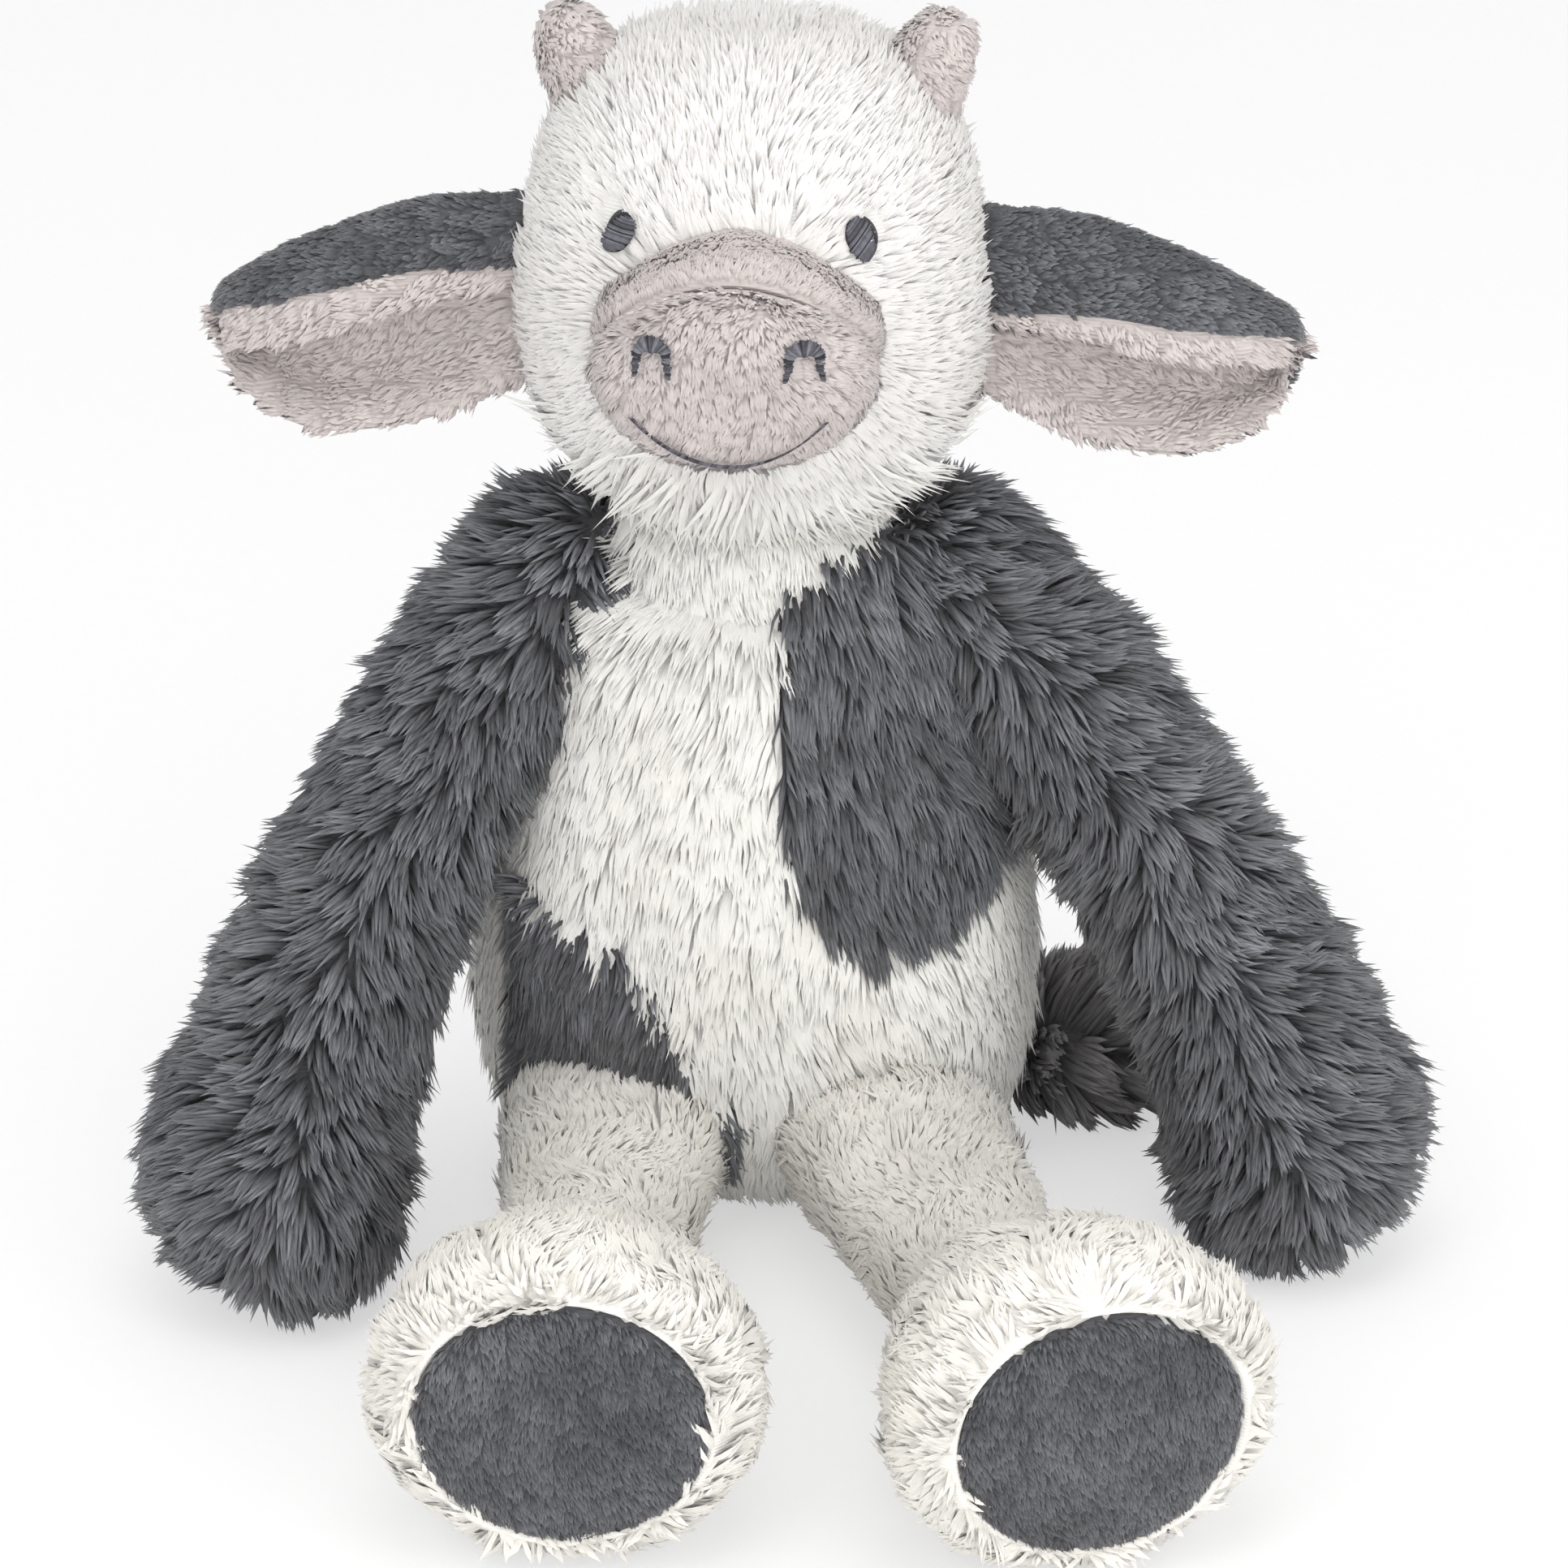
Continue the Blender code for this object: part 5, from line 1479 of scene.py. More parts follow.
def off_threads(local):
    """How far each place on the muzzle lies from the nostrils' arches and from the mouth's curve."""
    gaps = []
    for _, side in SIDES:
        reach = np.hypot(local[:, 0] - side * NOSTRIL_SPREAD, np.maximum(local[:, 2] - NOSTRIL_HEIGHT, 0))
        arch = np.abs(reach - NOSTRIL_HALF_WIDTH + NOSTRIL_STROKE / 2)
        gaps.append(np.where(local[:, 2] < NOSTRIL_HEIGHT - NOSTRIL_LEG, FAR_OFF, arch))
    line = MOUTH_HEIGHT + MOUTH_SAG * ((local[:, 0] / MOUTH_HALF_WIDTH) ** 2 - 1)
    mouth = np.where(np.abs(local[:, 0]) < MOUTH_HALF_WIDTH, np.abs(local[:, 2] - line), FAR_OFF)
    return np.min(gaps, axis=0), mouth


def make_muzzle():
    """The bridge above the seam and the pad below it, with fleece that leaves the threads clear."""
    pile_of = bpy.context.scene.cow_pile
    skin = drawn_in(stuffed(*form("muzzle"), *MESH_STEPS["muzzle"]), pile_of.short_cloth * MUZZLE_CLOTH_SHARE)
    for word, facing, nodes, comb_rise, longer in (
        ("bridge", 1, ("muzzle_bridge",), BRIDGE_COMB_RISE, 1.0),
        ("pad", -1, ("muzzle_pad", "muzzle_stuffing"), PAD_COMB_RISE, PAD_LONGER),
    ):
        side = muzzle_side(skin, facing)
        sew(f"muzzle_{word}_cloth", "head", side, "taupe_cloth", *nodes, fill=0.9)

        def shown(points, normals):
            """Only outside the head and on this side of the seam."""
            outside = depth_in(points, *form("head")) < MUZZLE_IN_HEAD
            return outside * (seam_distance(points) * facing > SEAM_CLEAR)

        above = facing > 0
        points, normals = scattered(side, TUFTS[word], seed_for("muzzle", above), shown)
        arches, mouth = off_threads(taken_back(points, frame_of("head")))
        kept = np.arange(len(points)) % MOUTH_KEPT_EACH == 0
        clear = (arches > NOSTRIL_STROKE * NOSTRIL_CLEAR) & ((mouth > MOUTH_STROKE * MOUTH_CLEAR) | kept)
        near = fade(np.minimum(arches, mouth)[clear], *STITCH_BAND)
        length = pile_of.muzzle_length * longer * (STITCH_RIM_SHARE + (1 - STITCH_RIM_SHARE) * near)
        roots, comb = (points[clear], normals[clear]), comb_muzzle(comb_rise)
        seed = seed_for("muzzle", 5 + above)
        pile(f"muzzle_{word}_pile", "head", roots, "taupe_pile", comb, length, word, seed)


def muzzle_front(inset):
    """How far forward the muzzle's skin stands at a place seen from the front, in the head's frame: the
    planes through the form's four nearest points, averaged by one over their squared distance."""
    matrix = frame_of("head")
    shell = stuffed(*form("muzzle"), *MESH_STEPS["muzzle"])
    normals = directed(normals_of(*shell), np.linalg.inv(matrix))
    local = taken_back(shell[0], matrix)
    facing = normals[:, 1] < MUZZLE_FACING
    local, normals = local[facing] - normals[facing] * inset, normals[facing]

    def front(x, z):
        spots = np.stack([x, np.zeros_like(x), z], axis=1)
        ground = local * (1.0, 0.0, 1.0)
        near = (ground**2).sum(axis=1) - 2.0 * spots @ ground.T
        pick = np.argpartition(near, 3, axis=1)[:, :4]
        gap = np.take_along_axis(near, pick, axis=1) + (spots**2).sum(axis=1)[:, None]
        weight = 1.0 / (gap + 1e-8)
        rise, slope = local[pick], normals[pick]
        across = ((spots[:, None] - rise) * slope * (1.0, 0.0, 1.0)).sum(axis=-1)
        plane = rise[..., 1] - across / slope[..., 1]
        return -(plane * weight).sum(axis=1) / weight.sum(axis=1)

    return front


def oval(half_width, half_height, count):
    """Points round an ellipse about its middle."""
    turn = np.linspace(0, 2 * np.pi, count, endpoint=False)
    return np.stack([half_width * np.cos(turn), half_height * np.sin(turn)], axis=1)


def make_face():
    """The eyes as slanted rows of satin stitch over a bed, the nostrils as arches of stitches across their
    stroke with two legs, and the mouth as stitches along a curve."""
    matrix, rings = frame_of("head"), ring_table("head")

    def head_front(x, z):
        return front_of(rings, z, x) - EYE_SINK

    ragged = np.random.default_rng(seed_for("face"))
    for word, side in SIDES:
        slant = side * EYE_SLANT
        turn = np.array(((math.cos(slant), -math.sin(slant)), (math.sin(slant), math.cos(slant)))).T
        middle = np.array((side * EYE_SPREAD, EYE_HEIGHT))
        rows = np.linspace(-EYE_ROW_REACH, EYE_ROW_REACH, EYE_ROWS)
        half = EYE_HALF_WIDTH * np.sqrt(1 - rows**2) + ragged.uniform(*EYE_RAGGED, EYE_ROWS)
        tilt = EYE_ROW_TILT * half / EYE_HALF_WIDTH
        starts = np.stack([-half, rows * EYE_HALF_HEIGHT - tilt], axis=1) @ turn + middle
        ends = np.stack([half, rows * EYE_HALF_HEIGHT + tilt], axis=1) @ turn + middle
        threads, strand = stitches(starts, ends, head_front, *EYE_THREAD)
        outline = oval(EYE_HALF_WIDTH, EYE_HALF_HEIGHT, 48) @ turn + middle
        bed = bed_shell(outline, head_front, EYE_BED_RAISED, EYE_BED_DEPTH, 8)
        strand = np.vstack([strand, np.full((len(bed[0]), 3), EYE_BED_TONE)])
        shell = stood(joined([threads, bed]), matrix)
        sew(f"eye_stitching_{word}", "head", shell, "thread", f"eye_{word}", strand=strand)
    ground = muzzle_front(FACE_SINK)
    turn = np.linspace(0, np.pi, NOSTRIL_ROWS)
    way = np.stack([np.cos(turn), np.sin(turn)], axis=1)
    legs = np.linspace(0, NOSTRIL_LEG, NOSTRIL_LEG_ROWS + 1)[1:]
    for word, side in SIDES:
        crown = NOSTRIL_STROKE * (NOSTRIL_LEG_SHARE + NOSTRIL_CROWN_SHARE * np.sin(turn) ** 2)
        outer = way * (NOSTRIL_HALF_WIDTH + ragged.uniform(*NOSTRIL_RAGGED, NOSTRIL_ROWS))[:, None]
        inner = way * (NOSTRIL_HALF_WIDTH - crown)[:, None]
        reach = NOSTRIL_HALF_WIDTH + ragged.uniform(*NOSTRIL_LEG_RAGGED, NOSTRIL_LEG_ROWS)
        short = reach - NOSTRIL_STROKE * NOSTRIL_LEG_SHARE * (1 - 0.5 * legs / NOSTRIL_LEG)
        starts = np.vstack([inner, *(np.stack([s * short, -legs], axis=1) for s in (1, -1))])
        low = -legs - NOSTRIL_LEG_SLANT
        ends = np.vstack([outer, *(np.stack([s * reach, low], axis=1) for s in (1, -1))])
        middle = np.array((side * NOSTRIL_SPREAD, NOSTRIL_HEIGHT))
        threads, strand = stitches(starts + middle, ends + middle, ground, *NOSTRIL_THREAD)
        shell = stood(threads, matrix)
        sew(f"nostril_stitching_{word}", "head", shell, "thread", f"nostril_{word}", strand=strand)
    x = np.linspace(-1, 1, MOUTH_STITCHES)
    low = np.stack([x * MOUTH_HALF_WIDTH, MOUTH_HEIGHT + MOUTH_SAG * (x**2 - 1)], axis=1)
    thick = MOUTH_STROKE * (MOUTH_END_SHARE + (1 - MOUTH_END_SHARE) * (1 - x**2))
    slant = np.array((MOUTH_SLANT, 0.0))
    high = low + slant + np.stack([0 * x, thick], axis=1)
    threads, strand = stitches(low - slant, high, ground, *MOUTH_THREAD)
    sew("mouth_stitching", "head", stood(threads, matrix), "thread", "mouth_stitch", strand=strand)


def bed_shell(outline, front, raised, deep, rows):
    """A closed low dome inside an outline: rings that shrink to its middle, raised as the root of what is
    left to the edge, with a flat back."""
    shares = np.linspace(0, 1, rows + 1)[1:]
    flat = shrinking(outline, shares, shares[::-1])
    count = len(outline)
    lift = np.r_[raised, np.repeat(raised * np.sqrt(1 - shares**2 * 0.98), count)]
    back = np.full(rows * count + 1, -deep)
    forward = front(flat[:, 0], flat[:, 1]) + np.r_[lift, back]
    points = np.stack([flat[:, 0], -forward, flat[:, 1]], axis=1)
    return outward(points, *round_faces(2 * rows, count))


def make_seam():
    """The row of small stitches along the muzzle's seam, at the heights of the form's own points by it."""
    shell = stuffed(*form("muzzle"), *MESH_STEPS["seam"])
    matrix = frame_of("head")
    local = taken_back(shell[0], matrix)
    near = np.abs(seam_distance(shell[0])) < SEAM_NEAR
    near &= (local[:, 1] < SEAM_BAND_FRONT) & (np.abs(local[:, 0]) < SEAM_BAND_HALF_WIDTH)
    band = local[near]
    band = band[np.argsort(band[:, 0])]
    middles = np.linspace(-SEAM_HALF_WIDTH, SEAM_HALF_WIDTH, SEAM_STITCHES)
    ends = [
        np.stack([x, np.interp(x, band[:, 0], band[:, 2]) - SEAM_DROP], axis=1)
        for x in (middles - SEAM_HALF_STITCH, middles + SEAM_HALF_STITCH)
    ]
    threads, strand = stitches(*ends, muzzle_front(SEAM_SINK), *SEAM_THREAD)
    sew("muzzle_seam_stitches", "head", stood(threads, matrix), "seam_thread", strand=strand)


def make_horns():
    """Both horns, with pile that is combed down and to one side."""
    pile_of = bpy.context.scene.cow_pile
    for word, side in SIDES:
        rings, matrix = form("horn", side)
        swollen = stuffed(rings * (1, HORN_SWELL, HORN_SWELL, 1, 1), matrix, *MESH_STEPS["horn"])
        skin = drawn_in(swollen, pile_of.short_cloth * HORN_CLOTH_SHARE)
        nodes = f"horn_{word}", f"horn_stuffing_{word}"
        sew(f"horn_cloth_{word}", "head", skin, "taupe_cloth", *nodes, fill=0.9)
        outside = lambda p, n: (depth_in(p, *form("head")) < HORN_IN_HEAD) * 1.0
        roots = scattered(skin, TUFTS["horn"], seed_for("horn", side), outside)
        comb, seed = comb_from(matrix, HORN_COMB), seed_for("horn", side + 2)
        pile(f"horn_pile_{word}", "head", roots, "taupe_pile", comb, pile_of.muzzle_length, "horn", seed)


def ear_grid(side):
    """The sheet between the ear's two layers: its outline runs smoothly along it, and its hooked section
    across. Its upper fold hangs down by EAR_HANG near the head, and its sections shrink to their middles at
    the tip."""
    u, v = np.linspace(0, 1, EAR_ALONG)[:, None], np.linspace(0, 1, EAR_ACROSS)
    outline = curve(EAR_OUTLINE_SHARES, u[:, 0])
    section = curve(EAR_SECTION_SHARES, v)
    length, top, bottom, depth = (outline[:, i : i + 1] for i in range(4))
    hang = EAR_HANG[side] * (1 - fade(u, *EAR_HANG_BAND)) * fade(v, *EAR_FOLD_BAND)
    crest = fade(v, *EAR_CREST_BAND) * (1 - EAR_RIM_KEPT * fade(v, *EAR_RIM_BAND))
    sag = EAR_SAG * np.sin(np.pi * u**0.8) ** 0.7 * crest
    x = side * length * EAR_LENGTH + 0 * section[:, 0]
    y = -EAR_DEPTH * depth * section[:, 0] - EAR_HANG_FORWARD * hang
    z = EAR_HALF_HEIGHT * (bottom + (top - bottom) * section[:, 1]) - hang - sag
    closed = 1 - EAR_TIP_CLOSING * fade(u, *EAR_TIP_BAND)
    y, z = (line.mean(axis=1, keepdims=True) * (1 - closed) + line * closed for line in (y, z))
    return np.stack([x, y, z], axis=-1)


def ear_layer(side, outer):
    """One layer of the ear as a closed shell: the sheet, and the sheet moved off along its normals by a
    thickness that is full in the middle and thin at the edges. The lining also rolls over the upper rim as a
    lip, and tucks under at the lower one. Returns the shell and the number of points in the sheet."""
    grid = ear_grid(side)
    out = unit(np.cross(np.gradient(grid, axis=0), np.gradient(grid, axis=1))) * side * (-1 if outer else 1)
    u = np.linspace(0, 1, EAR_ALONG)[:, None]
    v = np.linspace(0, 1, EAR_ACROSS)[None, :]
    low_edge, tip_edge = EAR_BACK_EDGES if outer else EAR_LINING_EDGES
    inwards = np.minimum(np.minimum(v / low_edge, (1 - v) / EAR_TOP_EDGE), (1 - u) / tip_edge)
    edge = np.sqrt(np.clip(inwards, 0.0, 1.0))
    thick = (EAR_LAYER * (EAR_EDGE_SHARE + (1 - EAR_EDGE_SHARE) * edge))[..., None]
    near, far = grid + out * EAR_LAYER_GAP, grid + out * thick
    if not outer:
        lip = EAR_LIP[side] * fade(v, *EAR_LIP_BAND) * fade(1 - u, *EAR_LIP_TIP_BAND)
        lip = lip * (EAR_LIP_ROOT_SHARE + (1 - EAR_LIP_ROOT_SHARE) * fade(u, *EAR_LIP_ROOT_BAND))
        forward = EAR_ROLL[0] * fade(v, *EAR_ROLL_BAND) - EAR_ROLL[1]
        far = far + lip[..., None] * np.stack([0 * forward, -forward, 0 * forward - EAR_ROLL[2]], axis=-1)
        low = fade(v, *EAR_TUCK_BAND) - 1.0 + 0 * u
        beyond = side * fade(u, *EAR_TUCK_TIP_BAND) + 0 * v
        far = far + EAR_TUCK * np.stack([beyond, EAR_TUCK_WAY[0] * low, EAR_TUCK_WAY[1] * low], axis=-1)
    n = EAR_ALONG * EAR_ACROSS
    i = np.arange(EAR_ALONG - 1)[:, None] * EAR_ACROSS
    j = np.arange(EAR_ACROSS - 1)
    cell = np.stack([i + j, i + EAR_ACROSS + j, i + EAR_ACROSS + j + 1, i + j + 1], axis=-1).reshape(-1, 4)
    rim = np.r_[
        np.arange(EAR_ACROSS), EAR_ACROSS * np.arange(2, EAR_ALONG + 1) - 1,
        n - 2 - np.arange(EAR_ACROSS - 1), EAR_ACROSS * np.arange(EAR_ALONG - 2, 0, -1),
    ]
    ahead = np.roll(rim, -1)
    walls = np.stack([rim, rim + n, ahead + n, ahead], axis=-1)
    points = np.vstack([near.reshape(-1, 3), far.reshape(-1, 3)])
    quads = np.vstack([cell[:, ::-1], cell + n, walls])
    shell = outward(placed(points, frame_of("ear", side)), quads, np.empty((0, 3), int))
    return shell, n


def make_ears():
    """Both ears, each from a charcoal back and a taupe lining with their piles."""
    pile_of = bpy.context.scene.cow_pile
    for word, side in SIDES:
        matrix = frame_of("ear", side)
        for layer, outer, cloth, key, way, longer in EAR_LAYERS:
            shell, n = ear_layer(side, outer)
            sew(f"ear_{layer}_cloth_{word}", f"ear_{word}", shell, cloth, f"ear_{layer}_{word}", fill=0.5)
            points, quads, fans = shell
            far = quads[(quads >= n).sum(axis=1) >= 2]
            if outer:
                spot = far.min(axis=1) - n
                inside = (spot % EAR_ACROSS > EAR_BARE_ACROSS) & (spot // EAR_ACROSS < EAR_BARE_ALONG)
                far = far[inside & (spot >= 0)]
            step = side + 3 * outer
            roots = scattered((points, far, fans), TUFTS[f"ear_{layer}"], seed_for("ear", step))
            comb = comb_from(matrix, (side * way[0], *way[1:]))
            length, seed = pile_of.ear_length * longer, seed_for("ear", step + 10)
            name = f"ear_{layer}_pile_{word}"
            pile(name, f"ear_{word}", roots, key, comb, length, f"ear_{layer}", seed)


def make_arms():
    """Both arms, with long fur that is left out inside the body."""
    pile_of = bpy.context.scene.cow_pile
    outside = lambda p, n: (depth_in(p, *form("body")) < LIMB_IN_BODY) * 1.0
    for word, side in SIDES:
        rings, matrix = form("arm", side)
        cover = drawn_in(stuffed(rings, matrix, *MESH_STEPS["arm"]), pile_of.long_cloth)
        nodes = f"arm_skin_{word}", f"arm_stuffing_{word}"
        sew(f"arm_cover_{word}", f"arm_{word}", cover, "charcoal_cloth", *nodes, fill=0.7)
        roots = scattered(cover, TUFTS["arm"], seed_for("arm", side), outside)
        hand = fade(-taken_back(roots[0], matrix)[:, 2] / ARM_LENGTH, *HAND_BAND)
        sway = ARM_LENGTH_SWAY * waves(roots[0], 5, ARM_LENGTH_WAVE)
        length, seed = pile_of.arm_length * (1 + sway - HAND_SHORTER * hand), seed_for("arm", side + 2)
        pile(f"arm_pile_{word}", f"arm_{word}", roots, "charcoal_fur", comb_arm(side), length, "arm", seed)


def sole_share(local):
    """How far each point lies from the sole's middle, as a share of the way to its rim."""
    return np.hypot(local[:, 0] / SOLE_HALF_WIDTH, (local[:, 1] + FOOT_RISE) / SOLE_HALF_HEIGHT)


def leg_cover(side):
    """The leg's cloth: its thigh is pressed in on one side, its ankle is creased by a bell curve along the
    leg, and the end of the foot is pressed flat behind the sole."""
    rings, matrix = form("leg", side)
    points, *faces = stuffed(rings, matrix, *MESH_STEPS["leg"])
    local = taken_back(points, matrix)
    along = -local[:, 2]
    crease = ANKLE_DEPTH * np.exp(-(((along - ANKLE_SHARE * LEG_LENGTH) / ANKLE_SPREAD) ** 2))
    thigh = 1 - fade(along / LEG_LENGTH, *THIGH_BAND)
    local[:, 1] *= np.where(local[:, 1] < 0, 1 - THIGH_PRESS * thigh, 1.0)
    depth = LEG_CLOTH_DEPTH - FOOT_CLOTH_RISE * fade(along / LEG_LENGTH, *FOOT_BAND) + crease
    points, *faces = drawn_in((placed(local, matrix), *faces), depth)
    local = taken_back(points, matrix)
    flat = -LEG_LENGTH + SOLE_SEAT * (1 - fade(sole_share(local), *SOLE_RIM_BAND))
    local[:, 2] = np.maximum(local[:, 2], flat)
    return (placed(local, matrix), *faces)


def make_legs():
    """Both legs with their plush, and their soles."""
    pile_of = bpy.context.scene.cow_pile
    for word, side in SIDES:
        matrix, body = frame_of("leg", side), f"leg_{word}"
        cover = leg_cover(side)
        nodes = f"leg_skin_{word}", f"leg_stuffing_{word}"
        sew(f"leg_cover_{word}", body, cover, "cream_cloth", *nodes, fill=0.8)

        def shown(points, normals):
            """None on the sole or inside the body, and fewer close to the floor."""
            local = taken_back(points, matrix)
            on_sole = (sole_share(local) < 1.0) & (local[:, 2] < SOLE_ZONE * LEG_LENGTH)
            outside = depth_in(points, *form("body")) < LIMB_IN_BODY
            return outside * (1.0 - on_sole) * (1.0 - LEG_LOW_THINNED * (points[:, 2] < LEG_LOW_HEIGHT))

        roots = scattered(cover, TUFTS["leg"], seed_for("leg", side), shown)
        along = -taken_back(roots[0], matrix)[:, 2] / LEG_LENGTH
        hip = 1 - fade(along, *HIP_BAND)
        foot = fade(along, *FOOT_BAND)
        sway = 1 + LEG_LENGTH_SWAY * waves(roots[0], 8, LEG_LENGTH_WAVE)
        length = pile_of.leg_length * (1 + HIP_LONGER * hip) * sway * (1 + FOOT_LONGER * foot)
        comb, seed, lift = comb_leg(side), seed_for("leg", side + 2), -FOOT_LOWER * foot
        pile(f"leg_pile_{word}", body, roots, "cream_fur", comb, length, "leg", seed, lift=lift)
        make_sole(word, side, matrix @ turned("X", math.pi / 2))


def make_sole(word, side, stand):
    """One sole: a low dome on the end of the foot, with its pile combed down it."""
    body = f"leg_{word}"
    outline = oval(SOLE_HALF_WIDTH, SOLE_HALF_HEIGHT, SOLE_POINTS) + (0.0, FOOT_RISE)
    end = LEG_LENGTH - SOLE_SINK
    disc = bed_shell(outline, lambda x, z: np.full_like(x, end), SOLE_RAISED, SOLE_THICKNESS, SOLE_ROWS)
    sole = stood(disc, stand)
    sole[0][:, 2] = soft_floor(sole[0][:, 2])
    sew(f"sole_cloth_{word}", body, sole, "slate_cloth", f"sole_{word}", fill=0.5)
    facing = directed(np.array((0.0, -1.0, 0.0)), stand)
    front = lambda p, n: (n @ facing > SOLE_FACING) * 1.0
    roots = scattered(sole, TUFTS["sole"], seed_for("sole", side), front)
    comb, length = comb_from(stand, SOLE_COMB), bpy.context.scene.cow_pile.sole_length
    pile(f"sole_pile_{word}", body, roots, "charcoal_pile", comb, length, "sole", seed_for("sole", side + 2))


def tail_points(count):
    """The tail's route: a smooth curve round the body's back, near the floor."""
    across, back, height = curve(TAIL_ROUTE_SHARES, np.linspace(0, 1, count)).T
    line = np.stack([across * TAIL_REACH, back * TAIL_BACK, (height - 1.0) * TAIL_ROOT[2]], axis=1)
    return line + np.array(TAIL_ROOT)


def tube(line, radius, around=14):
    """A round tube along a line, closed at both ends: each ring stands square to the line's run."""
    run = unit(np.gradient(line, axis=0))
    side = unit(np.cross(run, np.array((0.0, 0.0, 1.0))))
    up = np.cross(side, run)
    turn = np.linspace(0, 2 * np.pi, around, endpoint=False)
    ring = side[:, None] * np.cos(turn)[:, None] + up[:, None] * np.sin(turn)[:, None]
    points = (line[:, None] + radius * ring).reshape(-1, 3)
    quads, fans = round_faces(len(line), around)
    return outward(np.vstack([line[:1], points, line[-1:]]), quads, fans)


def make_tail():
    """The tail's cord along its route, and the tuft at its end round a small heart."""
    line = tail_points(TAIL_STEPS)
    line[:, 2] = np.maximum(line[:, 2], TAIL_RADIUS + FLOOR_GAP)
    cord = tube(line, TAIL_RADIUS * TAIL_CLOTH_SHARE)
    sew("tail_cord_cloth", "tail", cord, "slate_cloth", "tail_cord", fill=0.9)
    roots = scattered(cord, TUFTS["tail_cord"], seed_for("tail"))
    comb, seed = comb_from(np.eye(4), TAIL_CORD_COMB), seed_for("tail", 1)
    pile("tail_cord_pile", "tail", roots, "charcoal_pile", comb, TAIL_CORD_PILE, "tail_cord", seed)
    rings, matrix = form("tuft")
    shrunk = rings * (1, TUFT_HEART_SHARE, TUFT_HEART_SHARE, 1, 1)
    heart = drawn_in(stuffed(shrunk, matrix, *MESH_STEPS["tuft"]), 0.0)
    sew("tail_tuft_cloth", "tail", heart, "tuft_cloth", "tail_tuft", fill=0.6)
    roots = scattered(heart, TUFTS["tail_tuft"], seed_for("tail", 2))
    comb, length = comb_from(matrix, TUFT_COMB), bpy.context.scene.cow_pile.tail_length
    seed = seed_for("tail", 3)
    pile("tail_tuft_pile", "tail", roots, "dark_tuft", comb, length, "tail_tuft", seed, stages=3)


# Stage


def lamp(name, place, aim, size, power):
    """A round lamp that stands at a place and faces its aim."""
    light = bpy.data.lights.new(name, "AREA")
    light.shape = "DISK"
    light.size = size
    light.energy = power
    made = bpy.data.objects.new(name, light)
    z = unit(np.array(place, float) - np.array(aim, float))
    x = unit(np.cross((0.0, 0.0, 1.0), z))
    matrix = np.eye(4)
    matrix[:3, 0], matrix[:3, 1], matrix[:3, 2], matrix[:3, 3] = x, np.cross(z, x), z, place
    made.matrix_world = matrix.T
    bpy.context.scene.collection.objects.link(made)


def make_sweep():
    """The floor, a quarter bend and the wall behind the toy, as one sheet of slightly glowing paper."""
    look, tree = tree_of("studio_floor")
    grain = noise(tree, place_of(tree), 240.0)
    floor = shade(bpy.context.scene.cow_colours.floor, 1.0)
    tone = dyed(tree, floor, ranged(tree, grain, NOISE_SPAN, 0.985, 1.0))
    paper = {"Base Color": tone, "Roughness": 0.9, "Specular IOR Level": 0.1}
    paper = node(tree, "ShaderNodeBsdfPrincipled", paper).outputs["BSDF"]
    glow = node(tree, "ShaderNodeEmission", {"Color": (1, 1, 1, 1), "Strength": 1.0}).outputs["Emission"]
    eye = node(tree, "ShaderNodeLightPath").outputs["Is Camera Ray"]
    mixed = node(tree, "ShaderNodeMixShader", {0: times(tree, eye, SWEEP_GLOW), 1: paper, 2: glow})
    node(tree, "ShaderNodeOutputMaterial", {"Surface": mixed.outputs["Shader"]})
    turn = np.linspace(SWEEP_BEND_START, np.pi / 2, SWEEP_ROWS - 1)
    flat = np.linspace(SWEEP_NEAR, SWEEP_FAR, SWEEP_ROWS)
    run = np.r_[flat, SWEEP_FAR + SWEEP_BEND * np.sin(turn), SWEEP_WALL][:, None]
    rise = np.r_[np.zeros(SWEEP_ROWS), SWEEP_BEND - SWEEP_BEND * np.cos(turn), SWEEP_HEIGHT][:, None]
    wide = np.linspace(-SWEEP_HALF_WIDTH, SWEEP_HALF_WIDTH, SWEEP_COLUMNS)[None]
    grid = np.stack(np.broadcast_arrays(wide, run, rise), axis=-1).reshape(-1, 3)
    i = SWEEP_COLUMNS * np.arange(len(run) - 1)[:, None] + np.arange(SWEEP_COLUMNS - 1)
    quads = np.stack([i, i + 1, i + SWEEP_COLUMNS + 1, i + SWEEP_COLUMNS], axis=-1).reshape(-1, 4)
    put_shell("studio_sweep", (grid, quads, np.empty((0, 3), int)), look)


def make_stage():
    """The sweep, the air, the lamps and the camera."""
    scene = bpy.context.scene
    make_sweep()
    world = bpy.data.worlds.new("studio_air")
    scene.world = world
    world.use_nodes = True
    tree = world.node_tree
    tree.nodes.clear()
    seen = node(tree, "ShaderNodeLightPath").outputs["Is Camera Ray"]
    strength = ranged(tree, seen, (0.0, 1.0), AIR_STRENGTH, 1.0)
    air = node(tree, "ShaderNodeBackground", {"Color": (1, 1, 1, 1), "Strength": strength})
    node(tree, "ShaderNodeOutputWorld", {"Surface": air.outputs["Background"]})
    for name, values in LAMPS.items():
        lamp(name, *values)
    make_camera()
    scene.view_settings.view_transform = "Standard"


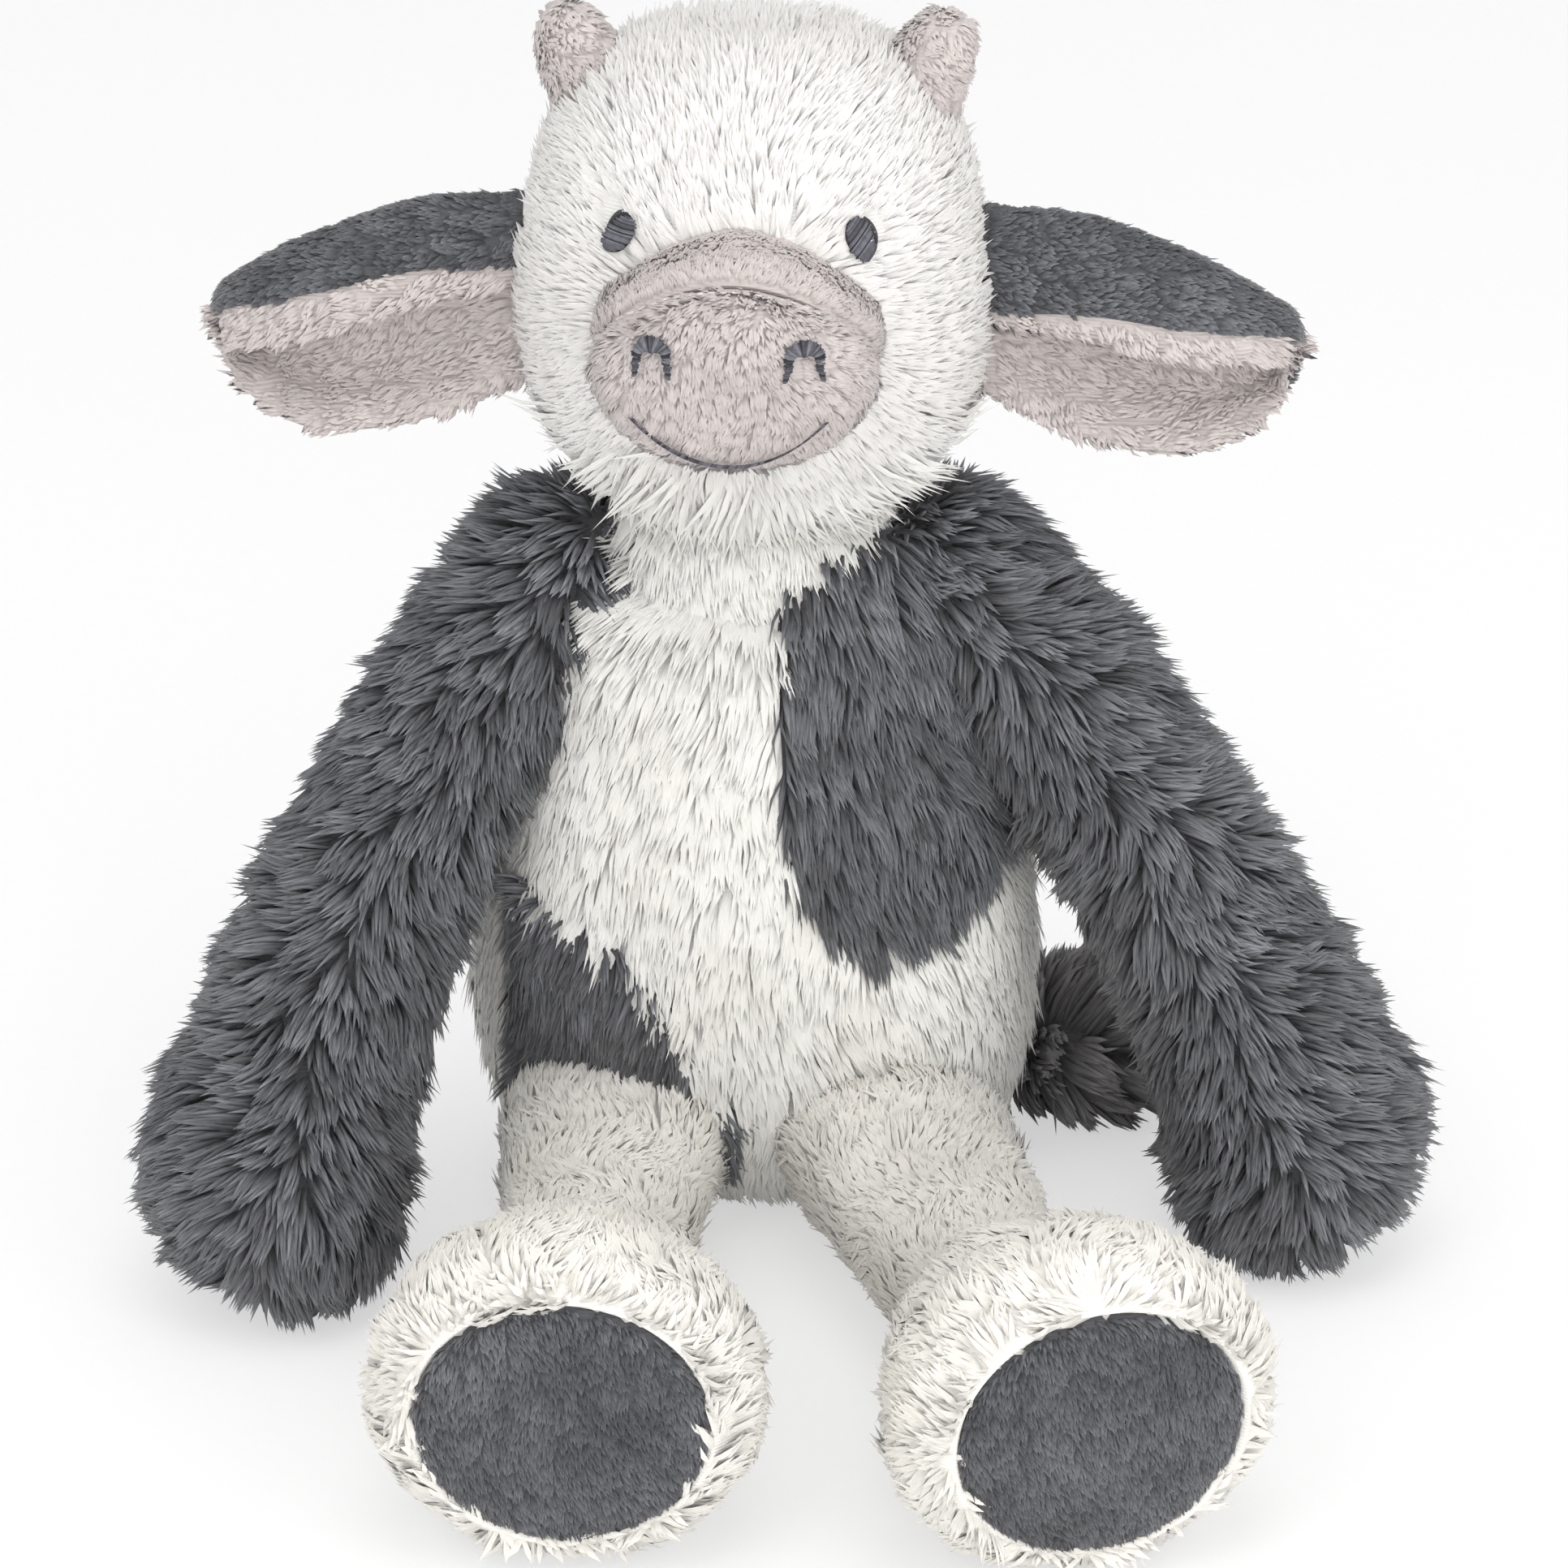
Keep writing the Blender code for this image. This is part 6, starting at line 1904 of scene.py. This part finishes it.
def make_camera():
    """The camera at the view that was fitted to the photograph."""
    scene = bpy.context.scene
    view = bpy.data.cameras.new("photo_view")
    view.sensor_width = SENSOR_WIDTH
    view.lens = CAMERA_FOCAL_PIXELS * SENSOR_WIDTH / PHOTO_PIXELS
    view.shift_x = (PHOTO_PIXELS / 2 - CAMERA_AIM_PIXEL[0]) / PHOTO_PIXELS
    view.shift_y = (CAMERA_AIM_PIXEL[1] - PHOTO_PIXELS / 2) / PHOTO_PIXELS
    made = bpy.data.objects.new("photo_view", view)
    back = np.array((0.0, -math.cos(CAMERA_ELEVATION), math.sin(CAMERA_ELEVATION)))
    stand = np.array(CAMERA_AIM) + back * CAMERA_DISTANCE
    matrix = shifted(*stand) @ turned("X", math.pi / 2 - CAMERA_ELEVATION)
    made.matrix_world = matrix.T
    scene.collection.objects.link(made)
    scene.camera = made


# Add-on


class OneStep:
    """Each button's work is one step that can be undone."""

    bl_options = {"REGISTER", "UNDO"}


class COW_OT_body(OneStep, bpy.types.Operator):
    """Sew and comb the body with its two patches"""

    bl_idname = "cow.body"
    bl_label = "Body"

    def execute(self, context):
        make_body()
        return {"FINISHED"}


class COW_OT_head(OneStep, bpy.types.Operator):
    """Sew and comb the head and its fringe"""

    bl_idname = "cow.head"
    bl_label = "Head"

    def execute(self, context):
        make_head()
        return {"FINISHED"}


class COW_OT_muzzle(OneStep, bpy.types.Operator):
    """Sew the muzzle in two parts with its seam"""

    bl_idname = "cow.muzzle"
    bl_label = "Muzzle"

    def execute(self, context):
        make_muzzle()
        make_seam()
        return {"FINISHED"}


class COW_OT_face(OneStep, bpy.types.Operator):
    """Embroider the eyes, nostrils and mouth"""

    bl_idname = "cow.face"
    bl_label = "Face"

    def execute(self, context):
        make_face()
        return {"FINISHED"}


class COW_OT_horns(OneStep, bpy.types.Operator):
    """Sew both horns"""

    bl_idname = "cow.horns"
    bl_label = "Horns"

    def execute(self, context):
        make_horns()
        return {"FINISHED"}


class COW_OT_ears(OneStep, bpy.types.Operator):
    """Sew both ears from a back and a lining"""

    bl_idname = "cow.ears"
    bl_label = "Ears"

    def execute(self, context):
        make_ears()
        return {"FINISHED"}


class COW_OT_arms(OneStep, bpy.types.Operator):
    """Sew and comb both arms"""

    bl_idname = "cow.arms"
    bl_label = "Arms"

    def execute(self, context):
        make_arms()
        return {"FINISHED"}


class COW_OT_legs(OneStep, bpy.types.Operator):
    """Sew and comb both legs with their soles"""

    bl_idname = "cow.legs"
    bl_label = "Legs"

    def execute(self, context):
        make_legs()
        return {"FINISHED"}


class COW_OT_tail(OneStep, bpy.types.Operator):
    """Sew the tail and its tuft"""

    bl_idname = "cow.tail"
    bl_label = "Tail"

    def execute(self, context):
        make_tail()
        return {"FINISHED"}


class COW_OT_stage(OneStep, bpy.types.Operator):
    """Lay the floor, light it and stand the camera"""

    bl_idname = "cow.stage"
    bl_label = "Stage"

    def execute(self, context):
        make_stage()
        return {"FINISHED"}


OPERATORS = (
    COW_OT_body, COW_OT_head, COW_OT_muzzle, COW_OT_face, COW_OT_horns,
    COW_OT_ears, COW_OT_arms, COW_OT_legs, COW_OT_tail, COW_OT_stage,
)


class COW_PT_sidebar(bpy.types.Panel):
    """Lists what can be made, and the sizes and colours it is made with"""

    bl_idname = "COW_PT_sidebar"
    bl_label = "Plush Cow"
    bl_space_type = "VIEW_3D"
    bl_region_type = "UI"
    bl_category = "Plush Cow"

    def draw(self, context):
        for kind in OPERATORS:
            self.layout.operator(kind.bl_idname)
        for group in (context.scene.cow_pile, context.scene.cow_colours):
            for key in group.__annotations__:
                self.layout.prop(group, key)


CLASSES = (CowPile, CowColours, *OPERATORS, COW_PT_sidebar)


def register():
    """Adds the classes and the two groups of settings."""
    for kind in CLASSES:
        bpy.utils.register_class(kind)
    bpy.types.Scene.cow_pile = PointerProperty(type=CowPile)
    bpy.types.Scene.cow_colours = PointerProperty(type=CowColours)


def unregister():
    """Takes them away again, in the other order."""
    del bpy.types.Scene.cow_pile
    del bpy.types.Scene.cow_colours
    for kind in reversed(CLASSES):
        bpy.utils.unregister_class(kind)


def main():
    """Presses every button in turn."""
    register()
    for kind in OPERATORS:
        group, name = kind.bl_idname.split(".")
        if getattr(getattr(bpy.ops, group), name)() != {"FINISHED"}:
            raise RuntimeError(f"{kind.bl_label} wasn't finished")


if __name__ == "__main__":
    main()
